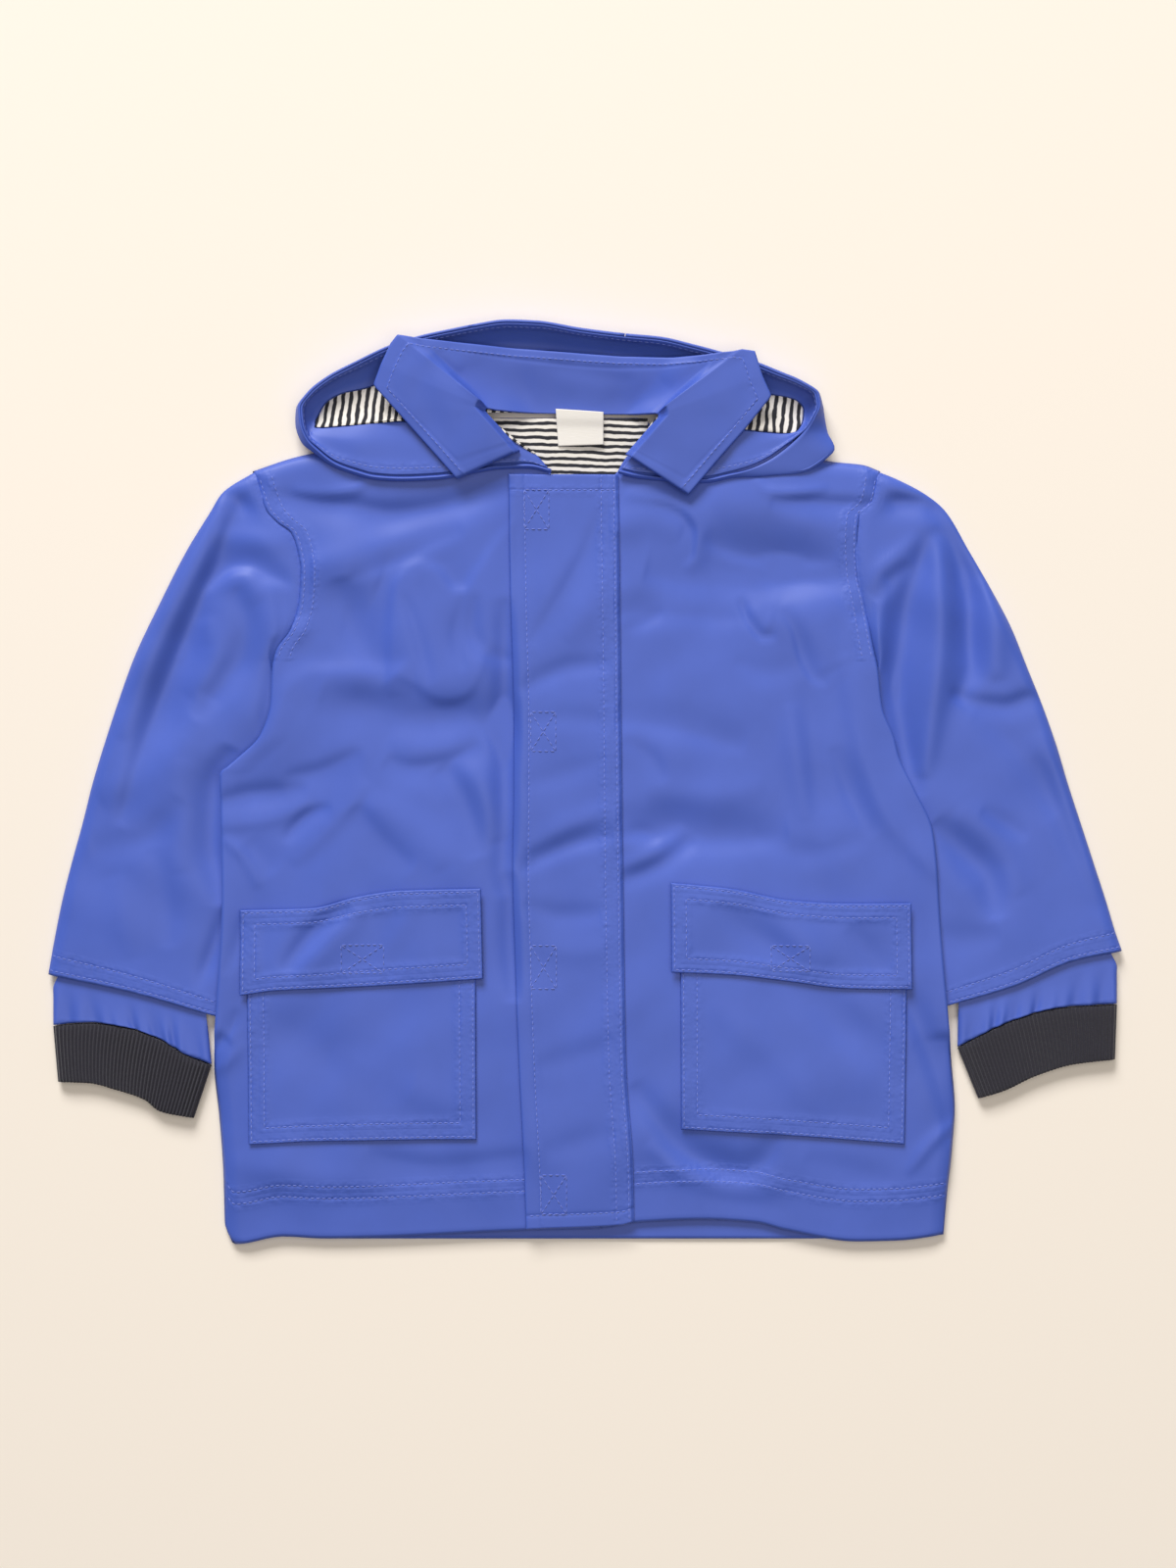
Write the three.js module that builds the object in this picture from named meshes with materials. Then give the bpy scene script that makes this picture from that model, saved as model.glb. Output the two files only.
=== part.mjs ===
// A kids raincoat laid flat on its back, hood at +Y, hem at -Y, in millimetres.
// X runs across the coat: the wearer's right side is -X. Z is up from the surface that the coat lies on.
// Each piece is a closed wall of cloth: a grid of points for one face, and the same grid moved by the wall.
import * as THREE from "three";

// Driving sizes.
const SHELL_WALL = 1.8; // coated cloth, hems and seams folded in
const LINING_WALL = 1.2; // striped jersey, and the hood's facing
const RIB_WALL = 1.8;
const PATCH_WALL = 1.4; // pockets, flaps and placket
const LABEL_WALL = 0.8;
const HOOD_WALL = 1.5;
const SEAM_GAP = 0.3; // between pieces that are sewn together or rest on each other
const BACK_TOP = SHELL_WALL;
const FRONT_TOP = 6.8; // upper face of the fronts, over a shallow hollow
const HEM_SINK = 2.0; // the fronts come this much closer to the back at the hem
const EDGE_ROLL = 9; // width over which a side or a shoulder rolls down
const SHOULDER_ROLL = 3.8; // how far a shoulder rolls down
const LIFT_WIDTH = 17; // width over which a side rises onto the sleeve
const NECK_X = -8; // middle of the neck
const NECK_HALF = 45; // the shoulders roll down from this far beside it, over NECK_BLEND
const NECK_BLEND = 12;
const CENTRE_X = 7.8; // where the two fronts part, under the placket
const ARMPIT_Y = 66;
const PLACKET_TOP_Y = 157;
const BACK_HEM_Y = -233.5;
const BACK_NECK_Y = 186.5;
const COAT_MIDDLE_X = -5;
const HALF_WIDTH = 175; // the arched rows are stated for this distance from the middle
const POCKET_INSET = 3; // a pocket is this much narrower than its flap, each side
const ARMHOLE_GAP = 0.6;
const BACK_INSET = 0.6; // the back's outline is this far inside the fronts'
const PLACKET_LIFT = 0.6; // between the fronts and the placket
const SLEEVE_TOP = 6.6;
const SLEEVE_WALL = 1.5;
const INNER_SLEEVE_TOP = 4.5;
const INNER_SLEEVE_WALL = 1.1;
const CUFF_TOP = 6.2;
const RIBS = 42; // that show across a flattened cuff
const RIB_DEPTH = 0.6;
const TUBE_MIDDLE = 2.6; // a tube's halves meet this far above its underside
const TUBE_FOOT = 4; // width over which a tube's underside rolls up to them
const TUBE_SPACE = 0.5; // least space inside a tube
const TUBE_SPARE = 0.2; // a tube's inside keeps this much more than its wall from an edge
const LEAST_SLANT = 0.2; // an edge that a ring meets more flatly counts as met at this sine
const START_FADE = 9; // how fast a tube's rings forget the curve of its first line
const ARMPIT_FADE = 60; // and how much faster they do so beside the inner edge

const COLOURS = { shell: 0x5867be, rib: 0x3d3a42, stripe: 0xd9d3cc, label: 0xf2efe9 };

// Named columns for a short table: rows([names], [[...], ...]).
const rows = (names, data) =>
  data.map((line) => Object.fromEntries(line.map((value, i) => [names[i], value])));

// A curve through a table without overshoot: gives column `give` where column `by` has the value `at`.
function through(table, by, give) {
  const sorted = [...table].sort((a, b) => a[by] - b[by]);
  const at = sorted.map((r) => r[by]);
  const value = sorted.map((r) => r[give]);
  const last = at.length - 1;
  const rise = at.slice(1).map((a, i) => (value[i + 1] - value[i]) / (a - at[i]));
  const slope = at.map((_, i) => {
    if (i === 0) return rise[0];
    if (i === last) return rise[last - 1];
    const [before, after] = [rise[i - 1], rise[i]];
    return before * after > 0 ? (2 * before * after) / (before + after) : 0;
  });
  return (x) => {
    if (x <= at[0]) return value[0];
    if (x >= at[last]) return value[last];
    let i = 0;
    while (x > at[i + 1]) i += 1;
    const step = at[i + 1] - at[i];
    const t = (x - at[i]) / step;
    const bend = t * t * (3 - 2 * t);
    const lift = t * (1 - t) * step * ((1 - t) * slope[i] - t * slope[i + 1]);
    return value[i] * (1 - bend) + value[i + 1] * bend + lift;
  };
}

const spread = (p, q) => Math.hypot(p.x - q.x, p.y - q.y);

// How far along a line each of its points lies, from 0 to 1.
function lengthShares(points) {
  const far = [0];
  for (let i = 1; i < points.length; i += 1) far.push(far[i - 1] + spread(points[i], points[i - 1]));
  return far.map((d) => d / far[far.length - 1]);
}

// A soft curve through points in order, by the share of its length.
function alongLine(points) {
  const shares = lengthShares(points);
  const table = points.map((p, i) => ({ ...p, share: shares[i] }));
  const x = through(table, "share", "x");
  const y = through(table, "share", "y");
  return (s) => ({ x: x(s), y: y(s) });
}

const mix = (a, b, t) => a + (b - a) * t;
const mixPoint = (p, q, t) => ({ x: mix(p.x, q.x, t), y: mix(p.y, q.y, t) });
const ease = (t) => {
  const c = Math.min(1, Math.max(0, t));
  return c * c * (3 - 2 * c);
};
// A quarter round: 0 at the edge, 1 from `width` inwards.
const round = (distance, width) => {
  const c = Math.min(1, Math.max(0, distance / width));
  return Math.sqrt(1 - (1 - c) * (1 - c));
};
const vector = (x, y, z) => new THREE.Vector3(x, y, z);

// Height added by a table of folds, each a soft ridge or trough along one line.
function foldHeight(folds, x, y) {
  let sum = 0;
  for (const f of folds) {
    const [dx, dy] = [f.toX - f.fromX, f.toY - f.fromY];
    const t = ((x - f.fromX) * dx + (y - f.fromY) * dy) / (dx * dx + dy * dy);
    const c = Math.min(1, Math.max(0, t));
    const away = Math.hypot(x - f.fromX - c * dx, y - f.fromY - c * dy) / f.width;
    sum += f.rise * Math.exp(-away * away);
  }
  return sum;
}

const FOLD_NAMES = ["fromX", "fromY", "toX", "toY", "width", "rise"];

// Meshes.

const coat = new THREE.Group();
const material = (colour, roughness) =>
  new THREE.MeshStandardMaterial({ color: colour, roughness, metalness: 0, side: THREE.DoubleSide });
const shellCloth = material(COLOURS.shell, 0.5);
const ribKnit = material(COLOURS.rib, 0.9);
const jersey = material(COLOURS.stripe, 0.9);
const tape = material(COLOURS.label, 0.7);

// Adds a named mesh from points and triangles, turned so that its faces point out.
function addPiece(name, points, triangles, itsMaterial) {
  let volume = 0;
  for (const [a, b, c] of triangles) {
    volume += points[a].dot(points[b].clone().cross(points[c]));
  }
  const turned = volume < 0 ? triangles.map(([a, b, c]) => [a, c, b]) : triangles;
  const geometry = new THREE.BufferGeometry().setFromPoints(points);
  geometry.setIndex(turned.flat());
  geometry.computeVertexNormals();
  const mesh = new THREE.Mesh(geometry, itsMaterial);
  mesh.name = name;
  coat.add(mesh);
}

// Two triangles for each cell of a grid whose point (i, j) is number start + i * across + j. A ring closes
// on itself across.
function gridTriangles(start, down, across, ring) {
  const made = [];
  for (let i = 0; i + 1 < down; i += 1) {
    for (let j = 0; j + 1 < across + (ring ? 1 : 0); j += 1) {
      const [here, next] = [start + i * across + j, start + i * across + ((j + 1) % across)];
      made.push([here, next, next + across], [here, next + across, here + across]);
    }
  }
  return made;
}

// A closed wall between two grids of the same size.
function addWall(name, face, other, itsMaterial) {
  const [down, across] = [face.length, face[0].length];
  const size = down * across;
  const triangles = gridTriangles(0, down, across, false);
  for (const [a, b, c] of gridTriangles(size, down, across, false)) triangles.push([a, c, b]);
  const join = (a, b) => triangles.push([b, a, a + size], [b, a + size, b + size]);
  for (let j = 0; j + 1 < across; j += 1) {
    join(j, j + 1);
    join((down - 1) * across + j + 1, (down - 1) * across + j);
  }
  for (let i = 0; i + 1 < down; i += 1) {
    join((i + 1) * across, i * across);
    join((i + 1) * across - 1, (i + 2) * across - 1);
  }
  addPiece(name, [...face.flat(), ...other.flat()], triangles, itsMaterial);
}

// The grid moved by `wall` along its normals: upwards for most points if `towards` is 1, down if it is -1.
function offsetGrid(grid, wall, towards) {
  const clamp = (i, n) => Math.min(n - 1, Math.max(0, i));
  const normals = grid.map((line, i) =>
    line.map((_, j) => {
      const [n, m] = [grid.length, line.length];
      const alongRow = line[clamp(j + 1, m)].clone().sub(line[clamp(j - 1, m)]);
      const alongColumn = grid[clamp(i + 1, n)][j].clone().sub(grid[clamp(i - 1, n)][j]);
      return alongRow.cross(alongColumn).normalize();
    }),
  );
  const upward = normals.flat().reduce((sum, n) => sum + n.z, 0) > 0 ? 1 : -1;
  return grid.map((line, i) =>
    line.map((p, j) => p.clone().addScaledVector(normals[i][j], wall * upward * towards)),
  );
}

const liftGrid = (grid, by) => grid.map((line) => line.map((p) => p.clone().setZ(p.z + by)));

// The body's outline.

const RIGHT_SIDE = rows(["y", "x"], [
  [-236, -180], [-229, -184], [-215, -184.5], [-198, -185], [-171, -187], [-145, -189.5], [-114, -188],
  [-60, -185], [-24, -185.5], [4, -186], [11, -178.5], [24, -165.5], [39, -160.5], [57, -159.5],
  [67, -157.5], [78, -150], [92.5, -146], [108, -145], [120, -147], [128, -150], [134, -157],
  [140, -163], [159, -170],
]);
const LEFT_SIDE = rows(["y", "x"], [
  [-234, 183], [-211, 185], [-188, 187.5], [-166, 189], [-145, 187.5], [-119, 185], [-80, 181.5],
  [-41, 179], [-24, 177], [-5, 168.5], [13, 160], [23, 157.5], [38, 151.5], [58, 149], [70, 146.5],
  [88, 143.5], [107, 140], [125, 139], [136, 140], [144, 148], [159, 151],
]);
const FRONT_HEM = rows(["x", "y"], [
  [-184, -230], [-179, -236], [-154, -232], [-133, -233], [-30, -229], [7, -228], [26, -225],
  [60, -223.5], [87, -225], [103, -229], [139, -234.5], [160, -234], [184, -231],
]);
const SHOULDER = rows(["x", "y"], [
  [-170, 159], [-147, 166.5], [-100, 175.5], [-53, 184], [-43, 179], [-33, 173], [-26, 168], [-21, 163],
  [-17, 157], [15, 157], [19, 163], [24, 170], [30, 177], [37, 184], [80, 174.5], [126, 164],
  [142, 162.3], [151, 159],
]);
const PLACKET_EDGE = rows(["y", "x"], [
  [-228, -30], [-198, -31], [-145, -33.6], [-93, -35.6], [-41, -37], [-8, -36.5], [32, -36.5], [92, -38],
  [157, -39],
]);
const PLACKET_SEAM = rows(["y", "x"], [
  [-226, 25], [-198, 24.5], [-145, 21], [-93, 20], [-41, 19.3], [25, 18.5], [79, 18], [157, 17],
]);

const rightSide = through(RIGHT_SIDE, "y", "x");
const leftSide = through(LEFT_SIDE, "y", "x");
const frontHem = through(FRONT_HEM, "x", "y");
const shoulder = through(SHOULDER, "x", "y");
const placketEdge = through(PLACKET_EDGE, "y", "x");
const placketSeam = through(PLACKET_SEAM, "y", "x");

// How far the side edge of a front stands above or below its plateau. It lies on the sleeve from just
// above the sleeve's hem to the armpit, and rolls down to the back below that and at the shoulder.
const SIDE_DROP = rows(["y", "drop"], [
  [-236, 3.2], [-150, 3.6], [-138, 2.6], [-125, -1.6], [52, -1.6], [76, -1.6], [88, 0.2],
  [140, 0.2], [150, 2.6], [159, 3.8],
]);
const sideDrop = through(SIDE_DROP, "y", "drop");

// The coat's largest folds: a ridge rises, a trough has a negative rise.
const FRONT_FOLDS = rows(FOLD_NAMES, [
  [-148, 141, -60, 139, 9, -2.6],
  [-60, 141, -38, 150, 8, -2.4],
  [-140, 118, -42, 142, 9, 2.2],
  [-118, 108, -62, 128, 8, -1.8],
  [-100, 102, -78, 114, 9, 2.6],
  [-66, 98, -40, 120, 8, 2.4],
  [-134, 98, -108, 70, 14, 2.6],
  [-92, 92, -74, 60, 16, 2.8],
  [-136, 54, -100, 57, 7, 2.0],
  [-106, 44, -42, 40, 12, -2.8],
  [-150, 30, -120, 44, 12, 1.5],
  [-92, 10, -60, 26, 10, -1.8],
  [-168, -2, -132, -2, 9, -1.6],
  [-146, -16, -128, -4, 7, -1.6],
  [-60, -10, -44, -40, 12, -1.8],
  [-100, -22, -70, -38, 14, -1.4],
  [-168, -30, -150, -50, 12, 1.4],
  [24, 136, 56, 132, 10, 2.4],
  [62, 138, 130, 132, 12, -2.2],
  [24, 100, 118, 98, 7, 2.6],
  [100, 100, 128, 74, 14, 2.6],
  [28, 90, 80, 88, 9, -1.8],
  [84, 86, 96, 76, 6, 1.6],
  [104, 80, 118, 58, 7, -1.4],
  [26, 42, 70, 34, 10, -1.6],
  [30, 66, 66, 62, 12, 1.2],
  [36, -18, 94, -14, 9, -2.4],
  [30, -52, 54, -28, 8, -1.6],
  [110, 20, 140, -10, 16, 1.3],
  [174, -40, 180, -110, 7, 1.2],
  [52, -176, 66, -190, 9, -2.0],
  [66, -190, 98, -186, 10, -2.4],
  [160, -176, 184, -168, 7, 1.4],
]);

// Height of the fronts' upper face, without the rolled edges.
function frontTop(x, y) {
  const sink = HEM_SINK * (1 - ease((y - frontHem(x)) / 45));
  const fade = ease((y - frontHem(x)) / 30);
  return FRONT_TOP - sink + fade * foldHeight(FRONT_FOLDS, x, y);
}

// Rows of the body, from the hem to the armpit: the height at the coat's middle and how far the row
// has come down at HALF_WIDTH from it.
const BODY_ROWS = rows(["name", "y", "arch"], [
  ["hemFold", -222, 8.5], ["hemStitch", -206, 5.5], ["underPocket", -192, 5.5],
  ["pocketBottom", -179, 6], ["pocket1", -166, 6.5], ["pocket2", -151, 7], ["pocket3", -135, 8],
  ["pocket4", -117, 9], ["flapBottom", -98, 9.5], ["flap1", -85, 10], ["pocketTop", -71, 10.5],
  ["flap2", -61, 11], ["flapTop", -52, 11], ["belly1", -38, 9], ["belly2", -22, 7], ["belly3", -5, 4],
  ["belly4", 12, 2], ["belly5", 30, 1], ["belly6", 48, 0], ["armpit", ARMPIT_Y, 0],
]);
const CHEST_SHARES = [0.13, 0.25, 0.36, 0.47, 0.57, 0.67, 0.76, 0.85, 0.92, 1];
const rowNumber = Object.fromEntries(BODY_ROWS.map((r, i) => [r.name, i + 1]));
const ROW_COUNT = 1 + BODY_ROWS.length + CHEST_SHARES.length;

// Where row i runs at x: on the hem, on an arched row, or a share of the way up to the shoulder.
function rowHeight(i, x) {
  if (i === 0) return frontHem(x);
  const row = BODY_ROWS[i - 1];
  if (row) {
    const out = (x - COAT_MIDDLE_X) / HALF_WIDTH;
    return row.y - row.arch * out * out;
  }
  return mix(ARMPIT_Y, shoulder(x), CHEST_SHARES[i - 1 - BODY_ROWS.length]);
}

// Shares of the way from a side edge to the placket, the pocket's edges among them.
const OUTER_SHARES = [0, 0.008, 0.03, 0.075, 0.16, 0.26, 0.36, 0.46, 0.56, 0.66, 0.76, 0.87, 0.935, 1];
const POCKET_OUTER = 3;
const POCKET_INNER = 11;
const PLACKET_SHARES = [0.3, 0.62, 1]; // from the placket's free edge to where the fronts part
const SEAM_SHARES = [0.5]; // from there to the placket's seam

// One front's upper face. `sign` is -1 for the wearer's right front and 1 for the left one.
function frontGrid(sign) {
  const [side, edge] = sign < 0 ? [rightSide, placketEdge] : [leftSide, placketSeam];
  const centre = CENTRE_X + (sign * SEAM_GAP) / 2;
  const inner = sign < 0 ? PLACKET_SHARES : [...SEAM_SHARES, 1];
  const grid = [];
  for (let i = 0; i < ROW_COUNT; i += 1) {
    const sideX = side(rowHeight(i, side(rowHeight(i, sign * HALF_WIDTH))));
    const edgeX = edge(rowHeight(i, edge(0)));
    const outerXs = OUTER_SHARES.map((s) => mix(sideX, edgeX, s));
    const line = [...outerXs, ...inner.map((s) => mix(edgeX, centre, s))];
    grid.push(
      line.map((x) => {
        const y = rowHeight(i, x);
        const fromSide = Math.abs(x - sideX);
        const edgeDrop = sideDrop(rowHeight(i, sideX));
        const lift = Math.max(0, -edgeDrop) * (1 - ease(fromSide / LIFT_WIDTH));
        const roll = Math.max(0, edgeDrop) * (1 - round(fromSide, EDGE_ROLL));
        const besideNeck = ease((Math.abs(x - NECK_X) - NECK_HALF) / NECK_BLEND);
        const shoulderRoll = SHOULDER_ROLL * besideNeck * (1 - round(shoulder(x) - y, EDGE_ROLL));
        const z = frontTop(x, y) + lift - Math.max(roll, shoulderRoll);
        return vector(x, y, Math.max(z, BACK_TOP + SEAM_GAP + SHELL_WALL));
      }),
    );
  }
  return grid;
}
const rightFront = frontGrid(-1);
const leftFront = frontGrid(1);
addWall("front_right", rightFront, offsetGrid(rightFront, SHELL_WALL, -1), shellCloth);
addWall("front_left", leftFront, offsetGrid(leftFront, SHELL_WALL, -1), shellCloth);

// What lies on the fronts is made from their points, moved up.
const part = (grid, fromRow, toRow, fromColumn, toColumn) =>
  grid.slice(fromRow, toRow + 1).map((line) => line.slice(fromColumn, toColumn + 1));

// A pocket: the front's points between its edges, its outer columns drawn in by POCKET_INSET.
function pocketGrid(front) {
  const grid = part(front, rowNumber.pocketBottom, rowNumber.pocketTop, POCKET_OUTER, POCKET_INNER);
  return grid.map((line) => {
    const drawn = line.map((p) => p.clone());
    const last = line.length - 1;
    for (const [edge, next] of [[0, 1], [last, last - 1]]) {
      const share = POCKET_INSET / line[edge].distanceTo(line[next]);
      drawn[edge].lerp(line[next], share);
    }
    return drawn;
  });
}

// A flap: sewn to the front along its top, and over the pocket from the pocket's top down.
function flapGrid(front) {
  const grid = part(front, rowNumber.flapBottom, rowNumber.flapTop, POCKET_OUTER, POCKET_INNER);
  const overPocket = 1 + rowNumber.pocketTop - rowNumber.flapBottom;
  return grid.map((line, i) => liftGrid([line], i < overPocket ? PATCH_WALL + SEAM_GAP : 0)[0]);
}

for (const [side, front] of [["right", rightFront], ["left", leftFront]]) {
  const pocket = liftGrid(pocketGrid(front), SEAM_GAP);
  addWall("pocket_" + side, pocket, liftGrid(pocket, PATCH_WALL), shellCloth);
  const flap = liftGrid(flapGrid(front), SEAM_GAP);
  addWall("flap_" + side, flap, liftGrid(flap, PATCH_WALL), shellCloth);
}

// The point where a column of a front's grid reaches height y.
function pointAt(grid, column, y) {
  let i = 0;
  while (i + 2 < grid.length && grid[i + 1][column].y < y) i += 1;
  const [low, high] = [grid[i][column], grid[i + 1][column]];
  return low.clone().lerp(high, Math.min(1, (y - low.y) / (high.y - low.y)));
}

// The placket: from its free edge over the right front to its seam on the left front.
const FREE_EDGE = OUTER_SHARES.length - 1;
const placketColumns = [
  ...[0, 1, 2, 3].map((n) => [rightFront, FREE_EDGE + n]),
  ...[1, 0].map((n) => [leftFront, FREE_EDGE + n]),
];
const placketGrid = [];
for (let i = 0; i < ROW_COUNT; i += 1) {
  const chest = i - 1 - BODY_ROWS.length;
  placketGrid.push(
    placketColumns.map(([front, column]) => {
      if (chest < 0) return front[i][column].clone();
      return pointAt(front, column, mix(ARMPIT_Y, PLACKET_TOP_Y, CHEST_SHARES[chest]));
    }),
  );
}
const placket = liftGrid(placketGrid, PLACKET_LIFT);
addWall("placket", placket, liftGrid(placket, PATCH_WALL), shellCloth);

// A straight-sided line through points, by the share of its length.
function alongPolygon(points) {
  const shares = lengthShares(points);
  const at = (s) => {
    let i = 0;
    while (i + 2 < points.length && shares[i + 1] < s) i += 1;
    return mixPoint(points[i], points[i + 1], (s - shares[i]) / (shares[i + 1] - shares[i]));
  };
  return { at, shares };
}

// The armhole seam from the shoulder to the armpit: the front's own edge, moved out by the seam's gap.
function armhole(front, sign) {
  const edge = front.slice(rowNumber.armpit).map((line) => line[0]);
  return alongPolygon(edge.reverse().map(({ x, y }) => ({ x: x + sign * ARMHOLE_GAP, y })));
}

// Shares of the way across a sleeve's underside. The back's armhole has its corners at the same places.
const UNDER = [0.985, 0.94, 0.7, 0.3, 0.06, 0.015];
const underArmhole = (front, sign) => UNDER.map((s) => armhole(front, sign).at(s));

// The back lies flat. Beside the sleeves its edge is tucked in, where the sleeve lies under the front.
const TUCK = 8;
const TUCK_FROM_Y = 64; // it comes on below this, over TUCK_BLEND
const TUCK_BLEND = 40;
const SLEEVE_HEM_INSIDE_Y = -121.5;
const belowSleeve = (y) => y < SLEEVE_HEM_INSIDE_Y - 1;
const tuck = (y) => (belowSleeve(y) ? 0 : TUCK * ease((TUCK_FROM_Y - y) / TUCK_BLEND));
const backOutline = new THREE.Shape();
const sideSteps = [
  -228, -212, -190, -165, -140, -123.2, -121.8, -90, -60, -30, -10, -2, 4, 8, 12, 24, 39, 52, 62,
];
// What the back keeps from a sleeve's inner edge: more under the armpit, and where the side turns.
const WAIST_Y = 5;
const besideSleeve = (y) => 1.2 + 4 * ease((y - 36) / 16) + 3 * Math.exp(-(((y - WAIST_Y) / 9) ** 2));
const inward = (y) => tuck(y) + (belowSleeve(y) ? BACK_INSET : besideSleeve(y));
backOutline.moveTo(-133, BACK_HEM_Y);
backOutline.lineTo(117, BACK_HEM_Y);
backOutline.lineTo(178, BACK_HEM_Y + 4);
for (const y of sideSteps) backOutline.lineTo(leftSide(y) - inward(y), y);
for (const { x, y } of underArmhole(leftFront, 1)) backOutline.lineTo(x - 2 * ARMHOLE_GAP, y);
for (const x of [145, 126, 80, 37]) backOutline.lineTo(x, shoulder(x) - BACK_INSET);
backOutline.lineTo(30, BACK_NECK_Y);
backOutline.lineTo(-45, BACK_NECK_Y);
for (const x of [-53, -100, -147]) backOutline.lineTo(x, shoulder(x) - BACK_INSET);
for (const { x, y } of underArmhole(rightFront, -1).reverse()) backOutline.lineTo(x + 2 * ARMHOLE_GAP, y);
for (const y of [...sideSteps].reverse()) backOutline.lineTo(rightSide(y) + inward(y), y);
backOutline.lineTo(-172, BACK_HEM_Y + 4);

// A flat piece from an outline, `wall` thick, lying at height z.
function addFlat(name, outline, wall, z, itsMaterial) {
  const geometry = new THREE.ExtrudeGeometry(outline, {
    depth: wall, bevelEnabled: false, curveSegments: 6,
  });
  const mesh = new THREE.Mesh(geometry, itsMaterial);
  mesh.name = name;
  mesh.position.z = z;
  coat.add(mesh);
}
addFlat("back", backOutline, SHELL_WALL, 0, shellCloth);

const neckLining = new THREE.Shape();
neckLining.moveTo(-46, BACK_NECK_Y - 0.5);
neckLining.lineTo(-50, 166);
neckLining.quadraticCurveTo(-8, 124, 34, 166);
neckLining.lineTo(31, BACK_NECK_Y - 0.5);
addFlat("back_lining", neckLining, LINING_WALL, BACK_TOP + SEAM_GAP, jersey);

// Flattened tubes: sleeves, inner sleeves and cuffs.

// A patch between four lines: `start` and `end` run across, `outer` and `inner` run down. How far the
// two lines across leave the straight is felt close to them alone, and at an armpit hardly at all.
function patch(start, end, outer, inner) {
  const [near, far] = [(s, t) => (1 - t) ** (START_FADE + ARMPIT_FADE * s ** 8), (t) => t ** 4];
  return (s, t) => {
    const flat = mixPoint(outer(t), inner(t), s);
    const atStart = mixPoint(outer(0), inner(0), s);
    const atEnd = mixPoint(outer(1), inner(1), s);
    const [from, to] = [start(s), end(s)];
    return {
      x: flat.x + near(s, t) * (from.x - atStart.x) + far(t) * (to.x - atEnd.x),
      y: flat.y + near(s, t) * (from.y - atStart.y) + far(t) * (to.y - atEnd.y),
    };
  };
}

// Triangles between two rings of points of any count; their shares say how far round each point is.
function bridge(first, firstShares, second, secondShares) {
  const made = [];
  let [i, j] = [0, 0];
  const [n, m] = [first.length, second.length];
  while (i < n || j < m) {
    const nextFirst = i < n ? (firstShares[i + 1] ?? 1) : 2;
    const nextSecond = j < m ? (secondShares[j + 1] ?? 1) : 2;
    if (nextFirst <= nextSecond) {
      made.push([first[i % n], first[(i + 1) % n], second[j % m]]);
      i += 1;
    } else {
      made.push([first[i % n], second[(j + 1) % m], second[j % m]]);
      j += 1;
    }
  }
  return made;
}

// The sine of the angle at which the ring at t meets a tube's outer edge (share 0) or inner edge (1).
function slant(place, share, t) {
  const [step, reach] = [0.01, 0.03];
  const [at, beside] = [place(share, t), place(share === 0 ? reach : 1 - reach, t)];
  const [before, after] = [place(share, Math.max(0, t - step)), place(share, Math.min(1, t + step))];
  const ring = new THREE.Vector2(beside.x - at.x, beside.y - at.y).normalize();
  const edge = new THREE.Vector2(after.x - before.x, after.y - before.y).normalize();
  return Math.max(LEAST_SLANT, Math.abs(ring.cross(edge)));
}

// A flattened tube of cloth. Each ring goes over the top by `across`, then back underneath by `under`.
function addFlatTube(name, tube, itsMaterial) {
  const { place, down, across, under, innerAcross, wall, outerRoll, innerRoll } = tube;
  const shell = (inset, overShares, ringWall) =>
    down.map((t) => {
      const [from, to] = [place(0, t), place(1, t)];
      const width = Math.hypot(to.x - from.x, to.y - from.y);
      const base = tube.base(t);
      const [start, end] = [0, 1].map((share) => inset / width / slant(place, share, t));
      const point = (s, top) => {
        const share = mix(start, 1 - end, s);
        const { x, y } = place(share, t);
        const reach = width * (1 - start - end);
        const [fromOuter, fromInner] = [s * reach, (1 - s) * reach];
        const full = Math.min(round(fromOuter, outerRoll), round(fromInner, innerRoll));
        const over = tube.top(x, y, share, t, ringWall > 0);
        const roof = Math.max(over, base + 2 * wall + TUBE_SPACE) - ringWall;
        const half = base + TUBE_MIDDLE;
        if (top) return vector(x, y, half + (roof - half) * full);
        const foot = round(Math.min(fromOuter, fromInner), TUBE_FOOT);
        return vector(x, y, half + (base + ringWall - half) * foot);
      };
      return [...overShares.map((s) => point(s, true)), ...under.map((s) => point(s, false))];
    });
  const outerRings = shell(0, across, 0);
  const innerRings = shell(wall + TUBE_SPARE, innerAcross, wall);
  const shares = (over) => [...over.map((s) => s / 2), ...under.map((s) => 1 - s / 2)];
  const [outerCount, innerCount] = [outerRings[0].length, innerRings[0].length];
  const size = down.length * outerCount;
  const triangles = gridTriangles(0, down.length, outerCount, true);
  for (const [a, b, c] of gridTriangles(size, down.length, innerCount, true)) triangles.push([a, c, b]);
  const ring = (start, count) => Array.from({ length: count }, (_, k) => start + k);
  const close = (i) =>
    bridge(
      ring(i * outerCount, outerCount),
      shares(across),
      ring(size + i * innerCount, innerCount),
      shares(innerAcross),
    );
  for (const [a, b, c] of close(0)) triangles.push([a, c, b]);
  triangles.push(...close(down.length - 1));
  addPiece(name, [...outerRings.flat(), ...innerRings.flat()], triangles, itsMaterial);
}

const evenly = (count) => Array.from({ length: count + 1 }, (_, i) => i / count);
const EDGE_SHARES = [0.012, 0.04, 0.965, 0.988]; // columns that shape a sleeve's two rolled edges

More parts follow.
